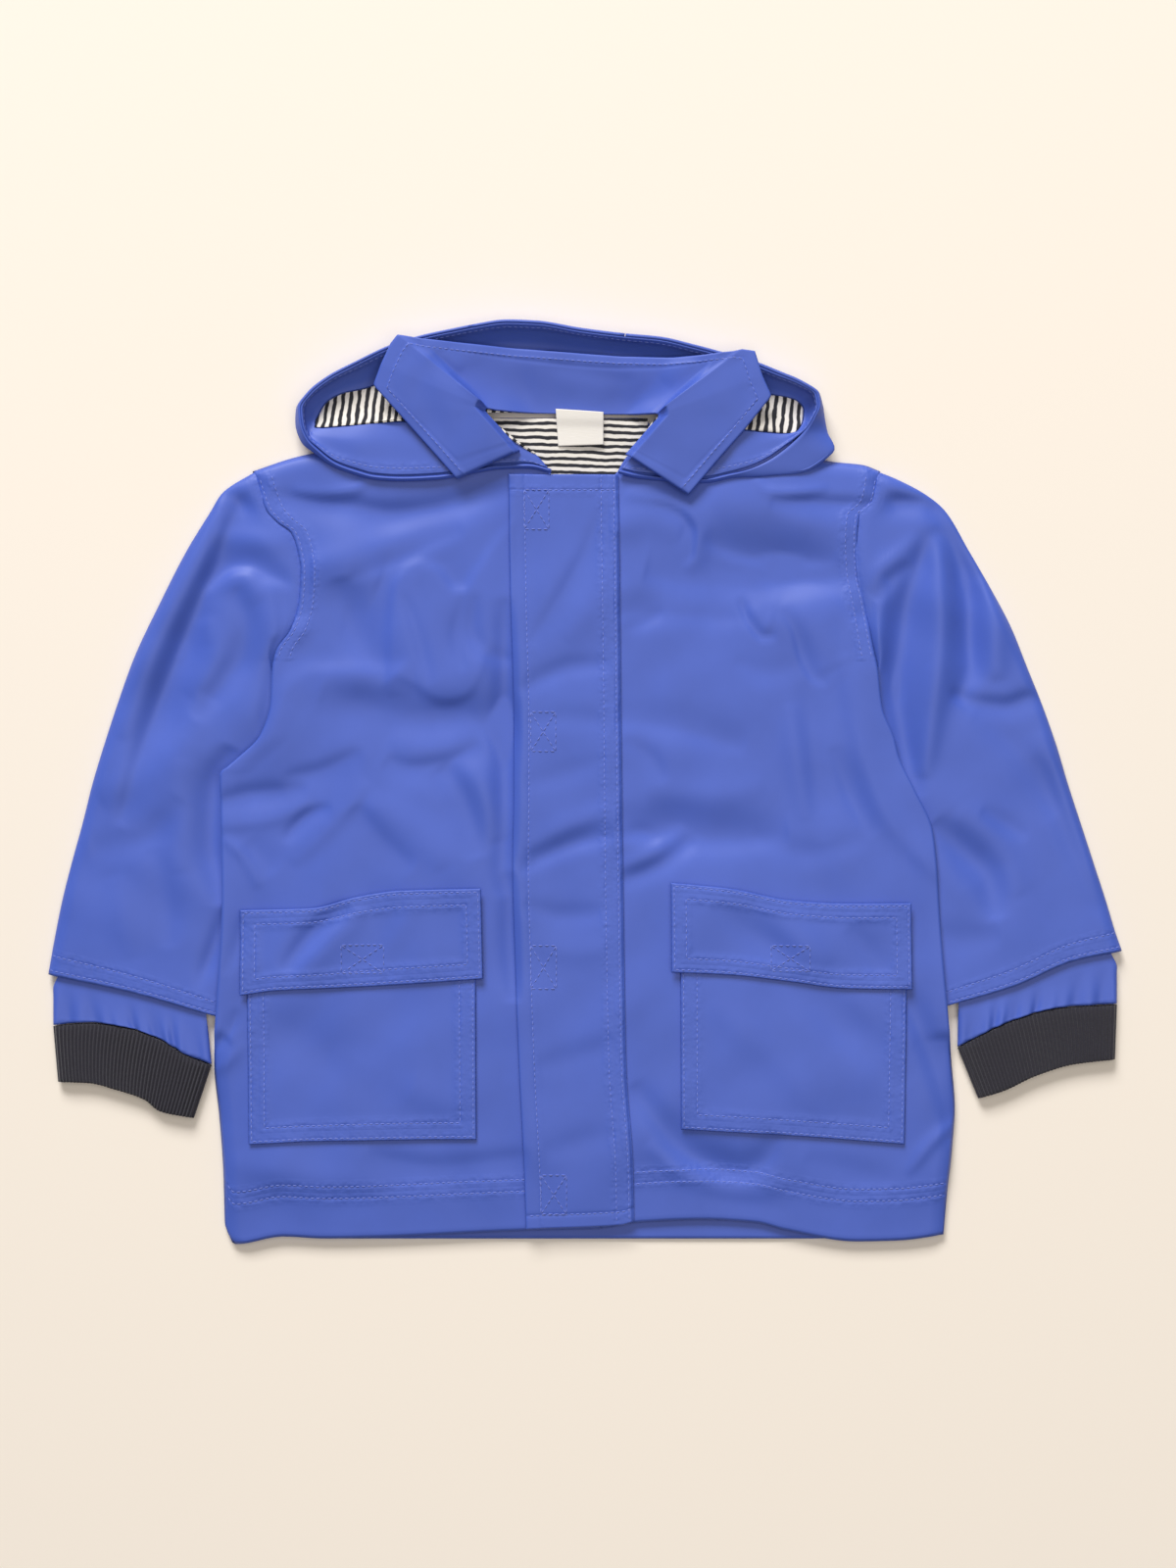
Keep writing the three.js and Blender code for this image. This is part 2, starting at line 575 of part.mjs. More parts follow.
const RIGHT_SLEEVE_OUTER = rows(["x", "y"], [
  [-185.5, 148], [-191.5, 138.5], [-204, 118], [-218, 90.5], [-230.5, 64],
  [-239.5, 39], [-246, 19], [-252, -1], [-257, -21], [-262.5, -41], [-267.5, -61], [-271.5, -81],
  [-274.5, -98],
]);
const RIGHT_SLEEVE_HEM = rows(["x", "y"], [[-274.5, -98], [-232, -107], [-190, -119], [-181, -121.5]]);
const LEFT_SLEEVE_OUTER = rows(["x", "y"], [
  [159.5, 155], [174.5, 147], [184, 139], [196, 119], [207.5, 99], [218, 79],
  [226, 59], [234, 39], [241, 19], [247, -1], [253.5, -21], [260, -41], [266.5, -61], [271, -76],
  [274.5, -86],
]);
const LEFT_SLEEVE_HEM = rows(["x", "y"], [
  [274.5, -86], [249.7, -91], [219, -104], [185, -114], [177, -116.5],
]);

const RIGHT_SLEEVE_FOLDS = rows(FOLD_NAMES, [
  [-190, 112, -154, 106, 6, -2.4],
  [-186, 102, -172, 106, 6, 2.0],
  [-184, 96, -187, 66, 9, 2.4],
  [-166, 74, -192, 40, 7, -2.8],
  [-196, 136, -222, 70, 9, -3.0],
  [-222, 70, -238, -14, 9, -2.8],
  [-202, 54, -214, 18, 9, 1.4],
  [-192, 6, -198, -34, 9, -2.2],
  [-198, 6, -238, -22, 9, 1.6],
  [-240, -36, -216, -36, 9, -1.3],
  [-213, -50, -208, -78, 7, -1.2],
]);
const LEFT_SLEEVE_FOLDS = rows(FOLD_NAMES, [
  [134, 141, 178, 142, 5, -2.6],
  [155, 108, 169, 124, 6, 2.2],
  [171, 119, 161, 70, 8, -3.4],
  [161, 70, 166, 4, 8, -3.0],
  [176, 116, 172, 40, 8, 2.6],
  [186, 117, 194, 88, 8, -3.0],
  [194, 88, 194, 46, 8, -3.0],
  [194, 44, 231, 37, 6, -1.8],
  [203, 98, 206, 56, 10, 2.0],
  [231, 38, 243, -4, 7, -1.4],
  [243, -4, 257, -52, 7, -1.3],
  [206, -16, 217, -27, 8, -1.3],
  [186, -34, 202, -52, 10, -1.8],
]);

// The sleeve's inner edge runs under the front, `tuck` inside the front's side.
function innerEdge(side, sign, from, to) {
  const points = [from];
  for (const share of [0.06, 0.12, 0.18, 0.24, 0.3, 0.37, 0.45, 0.55, 0.68, 0.82]) {
    const y = mix(from.y, to.y, share);
    points.push({ x: side(y) - sign * tuck(y), y });
  }
  return [...points, to];
}

const ARMS = [
  {
    name: "right", sign: -1, front: rightFront, side: rightSide,
    outer: RIGHT_SLEEVE_OUTER, hem: RIGHT_SLEEVE_HEM, folds: RIGHT_SLEEVE_FOLDS,
  },
  {
    name: "left", sign: 1, front: leftFront, side: leftSide,
    outer: LEFT_SLEEVE_OUTER, hem: LEFT_SLEEVE_HEM, folds: LEFT_SLEEVE_FOLDS,
  },
];
for (const arm of ARMS) {
  const seam = armhole(arm.front, arm.sign);
  const across = [...seam.shares, ...EDGE_SHARES].sort((a, b) => a - b);
  const [shoulderPoint, armpit] = [seam.at(0), seam.at(1)];
  const outer = [shoulderPoint, ...arm.outer];
  addFlatTube(
    "sleeve_" + arm.name,
    {
      place: patch(
        seam.at,
        alongLine(arm.hem),
        alongLine(outer),
        alongLine(innerEdge(arm.side, arm.sign, armpit, arm.hem[arm.hem.length - 1])),
      ),
      down: evenly(18),
      across,
      innerAcross: across,
      under: UNDER,
      wall: SLEEVE_WALL,
      outerRoll: 7,
      innerRoll: 22,
      base: () => 0,
      top: (x, y, s, t) => SLEEVE_TOP + ease((1 - t) * 8) * ease(t * 20) * foldHeight(arm.folds, x, y),
    },
    shellCloth,
  );
}

// Inner sleeves: from just inside the sleeve's hem to the cuff, gathered towards the cuff.
const RIGHT_INNER = {
  start: rows(["x", "y"], [[-266.5, -84], [-232, -93], [-195, -104]]),
  outer: rows(["x", "y"], [[-266.5, -84], [-268.5, -97], [-272, -106], [-272, -124]]),
  end: rows(["x", "y"], [
    [-272, -124], [-254, -122.6], [-235, -125], [-217.5, -131], [-204, -139], [-191, -144],
  ]),
};
const LEFT_INNER = {
  start: rows(["x", "y"], [[264.5, -73.5], [249.7, -77.5], [219, -90], [191, -99]]),
  outer: rows(["x", "y"], [[264.5, -73.5], [268, -86], [272, -95], [272, -113]]),
  end: rows(["x", "y"], [[272, -113], [242.7, -115], [217.5, -122], [190.5, -135]]),
};
const GATHERS = 9;
const GATHER_FROM = 0.4; // share of the inner sleeve's length where it comes out of the sleeve
const GATHER_RISE = 0.8;
const INNER_SLEEVE_BASE = 1.8; // its underside inside the sleeve; it lies on the surface at the cuff
const gatherAcross = [0, 0.015, 0.05, ...evenly(26).slice(3, 25), 0.985, 1];
const straight = (from, to) => (t) => mixPoint(from, to, t);
for (const [name, shape] of [["right", RIGHT_INNER], ["left", LEFT_INNER]]) {
  const last = (line) => line[line.length - 1];
  const wave = (s) => Math.sin(2 * Math.PI * GATHERS * (s + 0.025 * Math.sin(14 * s)));
  addFlatTube(
    "inner_sleeve_" + name,
    {
      place: patch(
        alongLine(shape.start),
        alongLine(shape.end),
        alongLine(shape.outer),
        straight(last(shape.start), last(shape.end)),
      ),
      down: [0, 0.32, 0.46, 0.6, 0.8, 1],
      across: gatherAcross,
      innerAcross: gatherAcross,
      under: UNDER,
      wall: INNER_SLEEVE_WALL,
      outerRoll: 4,
      innerRoll: 4,
      base: (t) => INNER_SLEEVE_BASE * (1 - ease((t - 0.36) / 0.3)),
      top: (x, y, s, t) => INNER_SLEEVE_TOP + ease((t - GATHER_FROM) / 0.6) * (0.6 + GATHER_RISE * wave(s)),
    },
    shellCloth,
  );
}

// Rib cuffs.
const RIGHT_CUFF = {
  start: RIGHT_INNER.end.map(({ x, y }) => ({ x, y: y - 2 * SEAM_GAP })),
  end: rows(["x", "y"], [
    [-269.5, -153], [-254, -153.5], [-239.5, -157], [-225, -162], [-217, -168], [-200, -171.5],
  ]),
};
const LEFT_CUFF = {
  start: LEFT_INNER.end.map(({ x, y }) => ({ x, y: y - 2 * SEAM_GAP })),
  end: rows(["x", "y"], [[271, -141.5], [249.7, -144], [230, -150], [214, -157.5], [201, -161.5]]),
};
const RIB_STEPS = 2 * RIBS;
const ribAcross = [0, 0.012, ...evenly(RIB_STEPS).slice(3, RIB_STEPS - 2), 0.988, 1];
for (const [name, shape] of [["right", RIGHT_CUFF], ["left", LEFT_CUFF]]) {
  const last = (line) => line[line.length - 1];
  const groove = (s) => (Math.round(s * RIB_STEPS) % 2 ? RIB_DEPTH : 0);
  addFlatTube(
    "cuff_" + name,
    {
      place: patch(
        alongLine(shape.start),
        alongLine(shape.end),
        straight(shape.start[0], shape.end[0]),
        straight(last(shape.start), last(shape.end)),
      ),
      down: [0, 0.3, 0.65, 1],
      across: ribAcross,
      innerAcross: [0, 0.04, 0.12, 0.3, 0.5, 0.7, 0.88, 0.96, 1],
      under: UNDER,
      wall: RIB_WALL,
      outerRoll: 4,
      innerRoll: 4,
      base: () => 0,
      top: (x, y, s, t, inside) => CUFF_TOP - (inside ? RIB_DEPTH : groove(s)),
    },
    ribKnit,
  );
}

// The hood lies open behind the collar, as a shallow bowl round the neck. Its stations go round the
// edge from the front of the neck on the right to the front of the neck on the left.
const HOOD = rows(
  ["rimX", "rimY", "rimZ", "outX", "outY", "facingX", "facingY", "neckX", "neckY"],
  [
    [-17.5, 158.5, 10.4, 0, -1, -25, 166.5, -29, 170],
    [-29, 161, 10.4, 0, -1, -35, 172.5, -36, 175],
    [-44, 160.5, 10.4, 0, -1, -46, 178, -42, 180],
    [-56.5, 158.5, 10.4, 0, -1, -58, 180, -46, 183],
    [-75, 155.3, 10.4, 0, -1, -77, 182, -49, 185],
    [-93, 154.5, 10.4, 0, -1, -95, 183.5, -50.5, 186.5],
    [-106, 155.2, 10.4, -0.3, -1, -107, 183, -51, 187.5],
    [-117, 158, 10.4, -0.5, -1, -117, 182, -51, 188],
    [-127.5, 162, 10.8, -1, -1, -126, 181, -51, 188.4],
    [-135.5, 168, 11.5, -1.5, -1, -133, 180.5, -50.5, 188.8],
    [-141, 173.5, 12.5, -3, -1, -138, 181, -50, 189],
    [-144.5, 181, 13.5, -3, 0, -138, 184, -49, 189],
    [-145.5, 190, 14, -2, 0, -136, 189, -48, 189],
    [-140.5, 198, 14, -1, 1, -133, 194, -47, 189],
    [-130.5, 206, 14, -1, 1, -125, 199, -45, 189],
    [-115.5, 214, 14, 0, 1.2, -112, 202, -43, 189],
    [-99, 221.8, 14, 0, 1.2, -99, 207, -41, 189],
    [-84, 226.5, 14, 0, 1.2, -82, 214, -38, 189],
    [-68, 230, 14, 0, 1.2, -66, 218, -34, 189],
    [-58, 232, 14, 0, 1.2, -54, 219.5, -28, 189],
    [-40, 234.6, 14, 0, 1.4, -38, 221, -20, 189],
    [-24, 234, 14, 0, 1.4, -22, 221, -13, 189],
    [-2, 230.3, 14, 0, 1.4, -2, 219, -4, 189],
    [20.5, 227.5, 14, 0, 1.4, 18, 216.5, 6, 189],
    [38.5, 225.8, 14, 0, 1.4, 36, 214, 14, 189],
    [55, 222, 14, 0, 1.4, 52, 210, 20, 189],
    [70, 218, 14, 0, 1.4, 66, 206, 25, 189],
    [85.5, 213.6, 14, 0.3, 1.4, 80, 202, 29, 189],
    [98, 208.6, 14, 0.5, 1.4, 92, 199, 32, 189],
    [110, 203.5, 14, 0.5, 1.4, 102, 197.5, 35, 189],
    [118.5, 197.5, 14, 1, 1, 109, 195, 37, 189],
    [119.5, 191.5, 14, 2, 0, 112, 190.5, 38, 188.5],
    [117, 186, 13.6, 5.5, -1, 111.5, 185, 38.5, 188],
    [113, 180, 12.6, 10.5, -1.5, 107, 178.5, 38.5, 187.5],
    [105, 172, 11.4, 20, -4, 100, 177.5, 38, 187],
    [94, 164, 10.6, 19, -5, 91, 178, 37.5, 186.5],
    [83.5, 159, 10.4, 8, -3, 82, 179, 37, 186],
    [73, 156, 10.4, 0.5, -1.2, 71, 180, 36, 185.5],
    [61, 153.8, 10.4, 0, -1.2, 60, 180, 35, 184.5],
    [48, 154, 10.4, 0, -1, 47, 180, 33.5, 182.5],
    [36.5, 155, 10.4, 0, -1, 38, 177, 31.5, 179.5],
    [26, 156.2, 10.4, 0, -1, 31, 172, 29, 176],
    [17, 158.3, 10.4, 0, -1, 24, 165.5, 26, 171.5],
  ],
);
const CENTRE_FROM = 19; // the stations where the hood's centre panel is seamed on
const CENTRE_TO = 23;
const SHOULDER_LEVEL = FRONT_TOP + SEAM_GAP;

// What the hood rests on: the fronts below the shoulder line, the surface above it.
const restLevel = (x, y) => SHOULDER_LEVEL * (1 - ease((y - shoulder(x) - 2) / 22));

function hoodStation(number) {
  const i = Math.min(HOOD.length - 2, Math.floor(number));
  const [a, b] = [HOOD[i], HOOD[i + 1]];
  const s = Object.fromEntries(Object.keys(a).map((key) => [key, mix(a[key], b[key], number - i)]));
  const point = (x, y) => ({ x, y });
  const rim = point(s.rimX, s.rimY);
  const out = point(s.rimX + s.outX, s.rimY + s.outY);
  return { rim, out, rimZ: s.rimZ, facing: point(s.facingX, s.facingY), neck: point(s.neckX, s.neckY) };
}
const resting = ({ x, y }, above) => vector(x, y, restLevel(x, y) + above);
const between = (from, to, t, above) => resting(mixPoint(from, to, t), above);
const FACING_SHARES = [0.36, 0.68, 1]; // from the hood's edge to the facing's inner edge
const NECK_SHARES = [0.3, 0.6, 1]; // from there to the neck
const FLANK_SHARE = 0.42; // height of the flank between what the hood rests on and its edge
const FLANK_SPARE = 0.3; // the wall is this much thicker there
const FOOT_REACH = 3.4; // the foot lies this far inside the flank
const FOOT_LIFT = 0.1;
const LINING_LIFT = HOOD_WALL + SEAM_GAP;
const FACING_STEP = 0.8; // the facing's edge lies this far below the hood's
const FACING_SET = 0.5; // and this far inside the shell's wall
const STEEP_FROM = 6.5; // above this height of edge the facing comes down in a curve
const STEEP_SHARES = [0.75, 0.22, 0];
const LINING_SET = 0.6; // between the facing's inner edge and the lining
const LINING_SWELL = [1.4, 1.0, 0]; // soft bulges, where the lining is wider than SWELL_FROM
const SWELL_FROM = 30;

// The shell at one station: edge, flank and foot, then along what it rests on, in to the neck.
// `wall` is 0 for its outer face and the cloth's thickness for its inner face.
function shellPath(number, wall) {
  const { rim, out, rimZ, facing, neck } = hoodStation(number);
  const reach = spread(out, facing);
  const inner = mixPoint(rim, facing, wall / reach);
  const flank = mixPoint(out, facing, wall / reach);
  const level = restLevel(out.x, out.y);
  const flankZ = Math.max(mix(level, rimZ, FLANK_SHARE), level + wall);
  return [
    vector(inner.x, inner.y, rimZ),
    vector(flank.x, flank.y, flankZ + (wall ? FLANK_SPARE : 0)),
    between(out, facing, Math.min(0.3, (FOOT_REACH + wall) / reach), FOOT_LIFT + wall),
    ...FACING_SHARES.map((t) => between(rim, facing, t, wall)),
    ...NECK_SHARES.map((t) => between(facing, neck, t, wall)),
  ];
}

// The facing at one station, inside the shell's edge; `wall` as for the shell.
function facingPath(number, wall) {
  const { rim, rimZ, facing } = hoodStation(number);
  const reach = spread(rim, facing);
  const top = mixPoint(rim, facing, (HOOD_WALL + FACING_SET + wall) / reach);
  const steep = Math.max(0, rimZ - restLevel(rim.x, rim.y) - STEEP_FROM);
  const topZ = Math.max(rimZ - FACING_STEP + wall * 0.3, restLevel(top.x, top.y) + LINING_LIFT + wall);
  return [
    vector(top.x, top.y, topZ),
    ...FACING_SHARES.map((t, i) => between(rim, facing, t, LINING_LIFT + wall + STEEP_SHARES[i] * steep)),
  ];
}

// The lining's lower face at one station, with the soft bulges of its jersey.
function liningPath(number) {
  const { rim, facing, neck } = hoodStation(number);
  const reach = spread(rim, facing);
  const start = mixPoint(rim, facing, 1 + LINING_SET / reach);
  const swell = spread(facing, neck) > SWELL_FROM ? 1 : 0;
  return [
    resting(start, LINING_LIFT),
    ...NECK_SHARES.map((t, i) => between(facing, neck, t, LINING_LIFT + swell * LINING_SWELL[i])),
  ];
}

// Stations from one number to another, both ends drawn in by half the gap that a seam leaves.
function stations(from, to, path, drawFrom, drawTo) {
  const numbers = [from + drawFrom];
  for (let k = Math.floor(from) + 1; k < to; k += 1) numbers.push(k);
  return [...numbers, to - drawTo].map(path);
}
const lastStation = HOOD.length - 1;
const SEAM_DRAW = 0.012; // half a seam's gap, in stations
for (const [name, from, to] of [
  ["hood_right", 0, CENTRE_FROM],
  ["hood_centre", CENTRE_FROM, CENTRE_TO],
  ["hood_left", CENTRE_TO, lastStation],
]) {
  const face = (wall) =>
    stations(from, to, (k) => shellPath(k, wall), from ? SEAM_DRAW : 0, to === lastStation ? 0 : SEAM_DRAW);
  addWall(name, face(0), face(HOOD_WALL), shellCloth);
}
const facingFace = (wall) => stations(0, lastStation, (k) => facingPath(k, wall), 0, 0);
addWall("hood_facing", facingFace(0), facingFace(LINING_WALL), shellCloth);
const liningGrid = stations(0, lastStation, liningPath, 0, 0);
addWall("hood_lining", liningGrid, liftGrid(liningGrid, LINING_WALL), jersey);

// The collar: stations from the right leaf's front end round the back to the left leaf's. `rise` is the
// share of the way to the free edge over which the wall comes up from the neck seam: short where the
// collar is folded over as a leaf, long at the back, where it lies up behind the neck.
const COLLAR = rows(["neckX", "neckY", "edgeX", "edgeY", "rollZ", "edgeZ", "rise"], [
  [-33, 168.3, -65, 154, 14.4, 11.2, 0.1],
  [-37, 173.5, -73, 163, 15.4, 11.6, 0.1],
  [-43.5, 180.8, -86, 177.5, 16, 12.2, 0.1],
  [-49.5, 187.3, -98, 191, 16.4, 12.8, 0.1],
  [-50.6, 188.8, -107.5, 201.5, 16.4, 13.2, 0.1],
  [-50.4, 189.6, -103.5, 212, 16.6, 14.6, 0.1],
  [-50, 190, -98.5, 222.5, 16.8, 15, 0.1],
  [-49.2, 190.2, -95, 226.8, 17, 15.4, 0.1],
  [-47.8, 190, -90.5, 226.2, 14.5, 15, 0.6],
  [-45.4, 189.6, -84, 225, 11, 15.2, 1],
  [-38, 189, -70, 223.8, 9.5, 13, 1],
  [-22, 188.4, -38, 221, 8.5, 8.6, 1],
  [-8, 188.2, -8, 218.8, 8.2, 8.2, 1],
  [8, 188, 18, 216.8, 8.2, 8.2, 1],
  [22, 188, 44, 216, 9, 9.2, 1],
  [30, 187.8, 60, 216.8, 9.5, 13.8, 1],
  [33.6, 187.8, 69, 217.8, 11, 15.4, 1],
  [35.4, 187.6, 75, 218.4, 14.5, 15.2, 0.6],
  [36.4, 187.4, 79.5, 219.4, 17, 15.4, 0.1],
  [37, 186.8, 86, 218.5, 16.8, 15, 0.1],
  [37.2, 186, 90, 206, 16.6, 14.6, 0.1],
  [36.6, 184.8, 94.7, 196, 16.4, 13.2, 0.1],
  [33, 181, 81, 179, 16, 12.2, 0.1],
  [28, 175.2, 66.5, 162.5, 15.4, 11.6, 0.1],
  [23.4, 170, 58, 152.5, 14.6, 11.4, 0.1],
  [20.4, 166.6, 52.4, 146, 14.4, 11.2, 0.1],
]);
const COLLAR_SHARES = [0, 0.05, 0.12, 0.3, 0.52, 0.76, 1];
const hoodTop = LINING_LIFT + LINING_WALL + SEAM_GAP + 0.1;
const collarGrid = COLLAR.map((c) =>
  COLLAR_SHARES.map((share) => {
    const x = mix(c.neckX, c.edgeX, share);
    const y = mix(c.neckY, c.edgeY, share);
    const foot = restLevel(c.neckX, c.neckY) + hoodTop;
    return vector(x, y, mix(foot, mix(c.rollZ, c.edgeZ, share), ease(share / c.rise)));
  }),
);
addWall("collar", collarGrid, offsetGrid(collarGrid, SHELL_WALL, 1), shellCloth);

// The label hangs from the neck seam, over the collar's seamed edge and down onto the neck lining.
const liningTop = BACK_TOP + SEAM_GAP + LINING_WALL;
const LABEL_SLANT = 1.6; // its side towards +X lies this much lower
const LABEL = rows(["y", "z", "left", "right"], [
  [190.5, hoodTop + SHELL_WALL + 0.9, -15, 9.4],
  [186.6, hoodTop + SHELL_WALL + 0.5, -15, 9.4],
  [181, liningTop + SEAM_GAP, -14.5, 9.4],
  [173, liningTop + SEAM_GAP, -13.5, 9.5],
]);
const labelGrid = LABEL.map(({ y, z, left, right }) => [
  vector(left, y, z), vector((left + right) / 2, y - LABEL_SLANT / 2, z), vector(right, y - LABEL_SLANT, z),
]);
addWall("label", labelGrid, liftGrid(labelGrid, LABEL_WALL), tape);

export default coat;
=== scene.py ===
# %% [markdown]
# # A child's raincoat, laid flat
#
# The coat lies on its back on a pale table, seen from straight above, with its hood opened behind the
# collar. Twenty-two pieces of cloth have been measured and built as plain solids. This lesson dresses each
# of them: a thin sheet of cloth with its creases, its edges and its sewing takes the solid's place.
#
# Sizes are in millimetres until the last moment. X runs across the coat towards the wearer's left, Y from
# the hem to the hood, and Z up from the table.

# %% The measured frame
import bpy
import numpy as np
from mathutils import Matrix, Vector


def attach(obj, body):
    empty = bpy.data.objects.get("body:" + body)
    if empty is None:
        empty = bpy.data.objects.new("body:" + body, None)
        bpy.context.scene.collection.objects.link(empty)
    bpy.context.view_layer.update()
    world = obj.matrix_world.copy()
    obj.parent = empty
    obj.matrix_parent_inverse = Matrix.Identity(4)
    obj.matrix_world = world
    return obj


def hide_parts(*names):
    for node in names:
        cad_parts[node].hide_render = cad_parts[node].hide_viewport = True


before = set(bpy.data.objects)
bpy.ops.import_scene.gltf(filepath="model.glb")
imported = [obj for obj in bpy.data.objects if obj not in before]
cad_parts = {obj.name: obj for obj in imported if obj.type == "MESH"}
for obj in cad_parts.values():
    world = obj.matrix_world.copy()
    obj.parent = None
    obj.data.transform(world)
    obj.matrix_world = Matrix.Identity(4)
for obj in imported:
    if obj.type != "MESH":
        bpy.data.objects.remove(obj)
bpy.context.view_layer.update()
MM = 0.001

# %% [markdown]
# ## The camera
#
# The photographer stood over the table and looked straight down. A camera that isn't turned at all looks
# down its own -Z with +Y at the top of the picture, which is just what is wanted. The picture's long side
# takes in 800 mm of the table, so the height follows from the lens and the sensor.

# %% Camera
PICTURE_LONG_SIDE = 800
PICTURE_MIDDLE = (1.5, -0.8)
LENS = 60
SENSOR = 36
CLOTH_LEVEL = 6

camera_height = CLOTH_LEVEL + PICTURE_LONG_SIDE * LENS / SENSOR
camera_data = bpy.data.cameras.new("camera")
camera_data.lens = LENS
camera_data.sensor_width = SENSOR
camera = bpy.data.objects.new("camera", camera_data)
camera.location = Vector((*PICTURE_MIDDLE, camera_height)) * MM
bpy.context.scene.collection.objects.link(camera)
bpy.context.scene.camera = camera
print("camera height:", round(camera_height), "mm")

# %% [markdown]
# ## Colours and nodes
#
# A colour that is read off a screen is an sRGB value, but light adds up in linear values, so one function
# turns the first into the second. A second small function adds a node and wires it in one go: an input
# that is given a socket is linked, and one that is given a number is set.

# %% Colour and node helpers
def linear(hexa):
    """An sRGB colour such as "5867be" as linear red, green, blue and alpha."""
    parts = [int(hexa[i:i + 2], 16) / 255 for i in (0, 2, 4)]
    return [c / 12.92 if c < 0.04045 else ((c + 0.055) / 1.055) ** 2.4 for c in parts] + [1.0]


def add(tree, kind, inputs=(), **settings):
    """A new shader node; inputs maps a socket's name or number to a value or to another node's output."""
    node = tree.nodes.new("ShaderNode" + kind)
    for name, value in settings.items():
        setattr(node, name, value)
    for name, value in dict(inputs).items():
        if isinstance(value, bpy.types.NodeSocket):
            tree.links.new(value, node.inputs[name])
        else:
            node.inputs[name].default_value = value
    return node


def new_material(name, hexa, roughness, sheen=0.0):
    """A material with only its shader; the finishes below add their nodes to it."""
    material = bpy.data.materials.new(name)
    material.use_nodes = True
    material.diffuse_color = linear(hexa)
    tree = material.node_tree
    shader = tree.nodes["Principled BSDF"]
    shader.inputs["Base Color"].default_value = linear(hexa)
    shader.inputs["Roughness"].default_value = roughness
    shader.inputs["Sheen Weight"].default_value = sheen
    shader.inputs["Sheen Roughness"].default_value = 0.5
    return material, tree, shader


def millimetres(tree):
    """The place on the coat, in millimetres, as a vector."""
    place = add(tree, "TexCoord").outputs["Object"]
    return add(tree, "VectorMath", {0: place, "Scale": 1 / MM}, operation="SCALE").outputs[0]


# %% [markdown]
# ## The finishes
#
# The shell is a woven cloth with a thin, matt coat of polyurethane. It has no weave to see, only a very
# fine grain, and it gives back a broad soft shine. Along every sewn line the needle and thread draw the
# cloth up into tiny puckers. The sheets below carry a value called "pucker", 1 on a seam and 0 away from
# it, and the material turns it into relief: that is cheaper than modelling thousands of small waves.

# %% Coated cloth
SHELL_BLUE = "4762c4"
TONE_SIZE = 38
GRAIN_SIZE = 0.45
PUCKER_LENGTH = 3.4
PUCKER_DEPTH = 0.58


def coated_cloth(name, hexa):
    material, tree, shader = new_material(name, hexa, 0.5)
    shader.inputs["Specular IOR Level"].default_value = 0.45
    place = millimetres(tree)
    tone = add(tree, "TexNoise", {"Vector": place, "Scale": 1 / TONE_SIZE, "Detail": 3.0, "Roughness": 0.6})
    shade = add(tree, "MapRange", {0: tone.outputs[0], 1: 0.3, 2: 0.7, 3: 0.95, 4: 1.05})
    tinted = add(tree, "VectorMath", {0: linear(hexa)[:3], "Scale": shade.outputs[0]}, operation="SCALE")
    tree.links.new(tinted.outputs[0], shader.inputs["Base Color"])
    grain = add(tree, "TexNoise", {"Vector": place, "Scale": 1 / GRAIN_SIZE, "Detail": 2.0})
    fine = add(tree, "Bump", {"Strength": 0.10, "Distance": 0.05 * MM, "Height": grain.outputs[0]})
    wave = add(tree, "TexNoise", {"Vector": place, "Scale": 1 / PUCKER_LENGTH, "Detail": 1.0})
    near = add(tree, "Attribute", attribute_name="pucker").outputs["Fac"]
    high = add(tree, "Math", {0: wave.outputs[0], 1: near}, operation="MULTIPLY")
    bump = add(tree, "Bump", {"Strength": 1.0, "Distance": PUCKER_DEPTH * MM, "Height": high.outputs[0],
                              "Normal": fine.outputs[0]})
    tree.links.new(bump.outputs[0], shader.inputs["Normal"])
    return material


shell_cloth = coated_cloth("PU-coated cloth, royal blue", SHELL_BLUE)

# %% [markdown]
# The cuffs are a cotton rib: thick, matt, nearly black navy. Its wales are modelled, so the material only
# adds the small loops of the knit along them and a little sheen. It also paints light and shade on the loops:
# the colour is lighter where a loop stands up and darker between the loops.

# %% Cotton rib
RIB_NAVY = "252431"
LOOP_LENGTH = 0.9

rib_knit, tree, shader = new_material("cotton rib, navy", RIB_NAVY, 0.9, sheen=0.25)
place = millimetres(tree)
turned = add(tree, "Mapping", {"Vector": place, "Scale": (1.0, 1 / LOOP_LENGTH, 1.0)})
loops = add(tree, "TexNoise", {"Vector": turned.outputs[0], "Scale": 1.3, "Detail": 2.0})
bump = add(tree, "Bump", {"Strength": 0.8, "Distance": 0.35 * MM, "Height": loops.outputs[0]})
tree.links.new(bump.outputs[0], shader.inputs["Normal"])
# Painted light and shade: the colour follows the loops' bump, lighter on their tops and darker between them.
loop_light_and_shade = add(tree, "MapRange", {0: loops.outputs[0], 1: 0.3, 2: 0.7, 3: 0.8, 4: 1.25})
tinted = add(tree, "VectorMath", {0: linear(RIB_NAVY)[:3], "Scale": loop_light_and_shade.outputs[0]}, operation="SCALE")
tree.links.new(tinted.outputs[0], shader.inputs["Base Color"])

# %% [markdown]
# The lining is a cotton jersey knitted in black and white stripes. A stripe is a repeat along one
# direction of the cut, so the sheet carries its own flat coordinates, in millimetres, in a UV map, and the
# stripes bend wherever the cloth bends. A little noise added to the coordinate makes them as uneven as
# knitted stripes are.

# %% Striped jersey
STRIPE_WHITE = "ece8e2"
STRIPE_BLACK = "23242c"
DARK_SHARE = 0.5
STRIPE_BLUR = 0.05
SWAY_LENGTH = 9
JERSEY_LOOP = 0.6


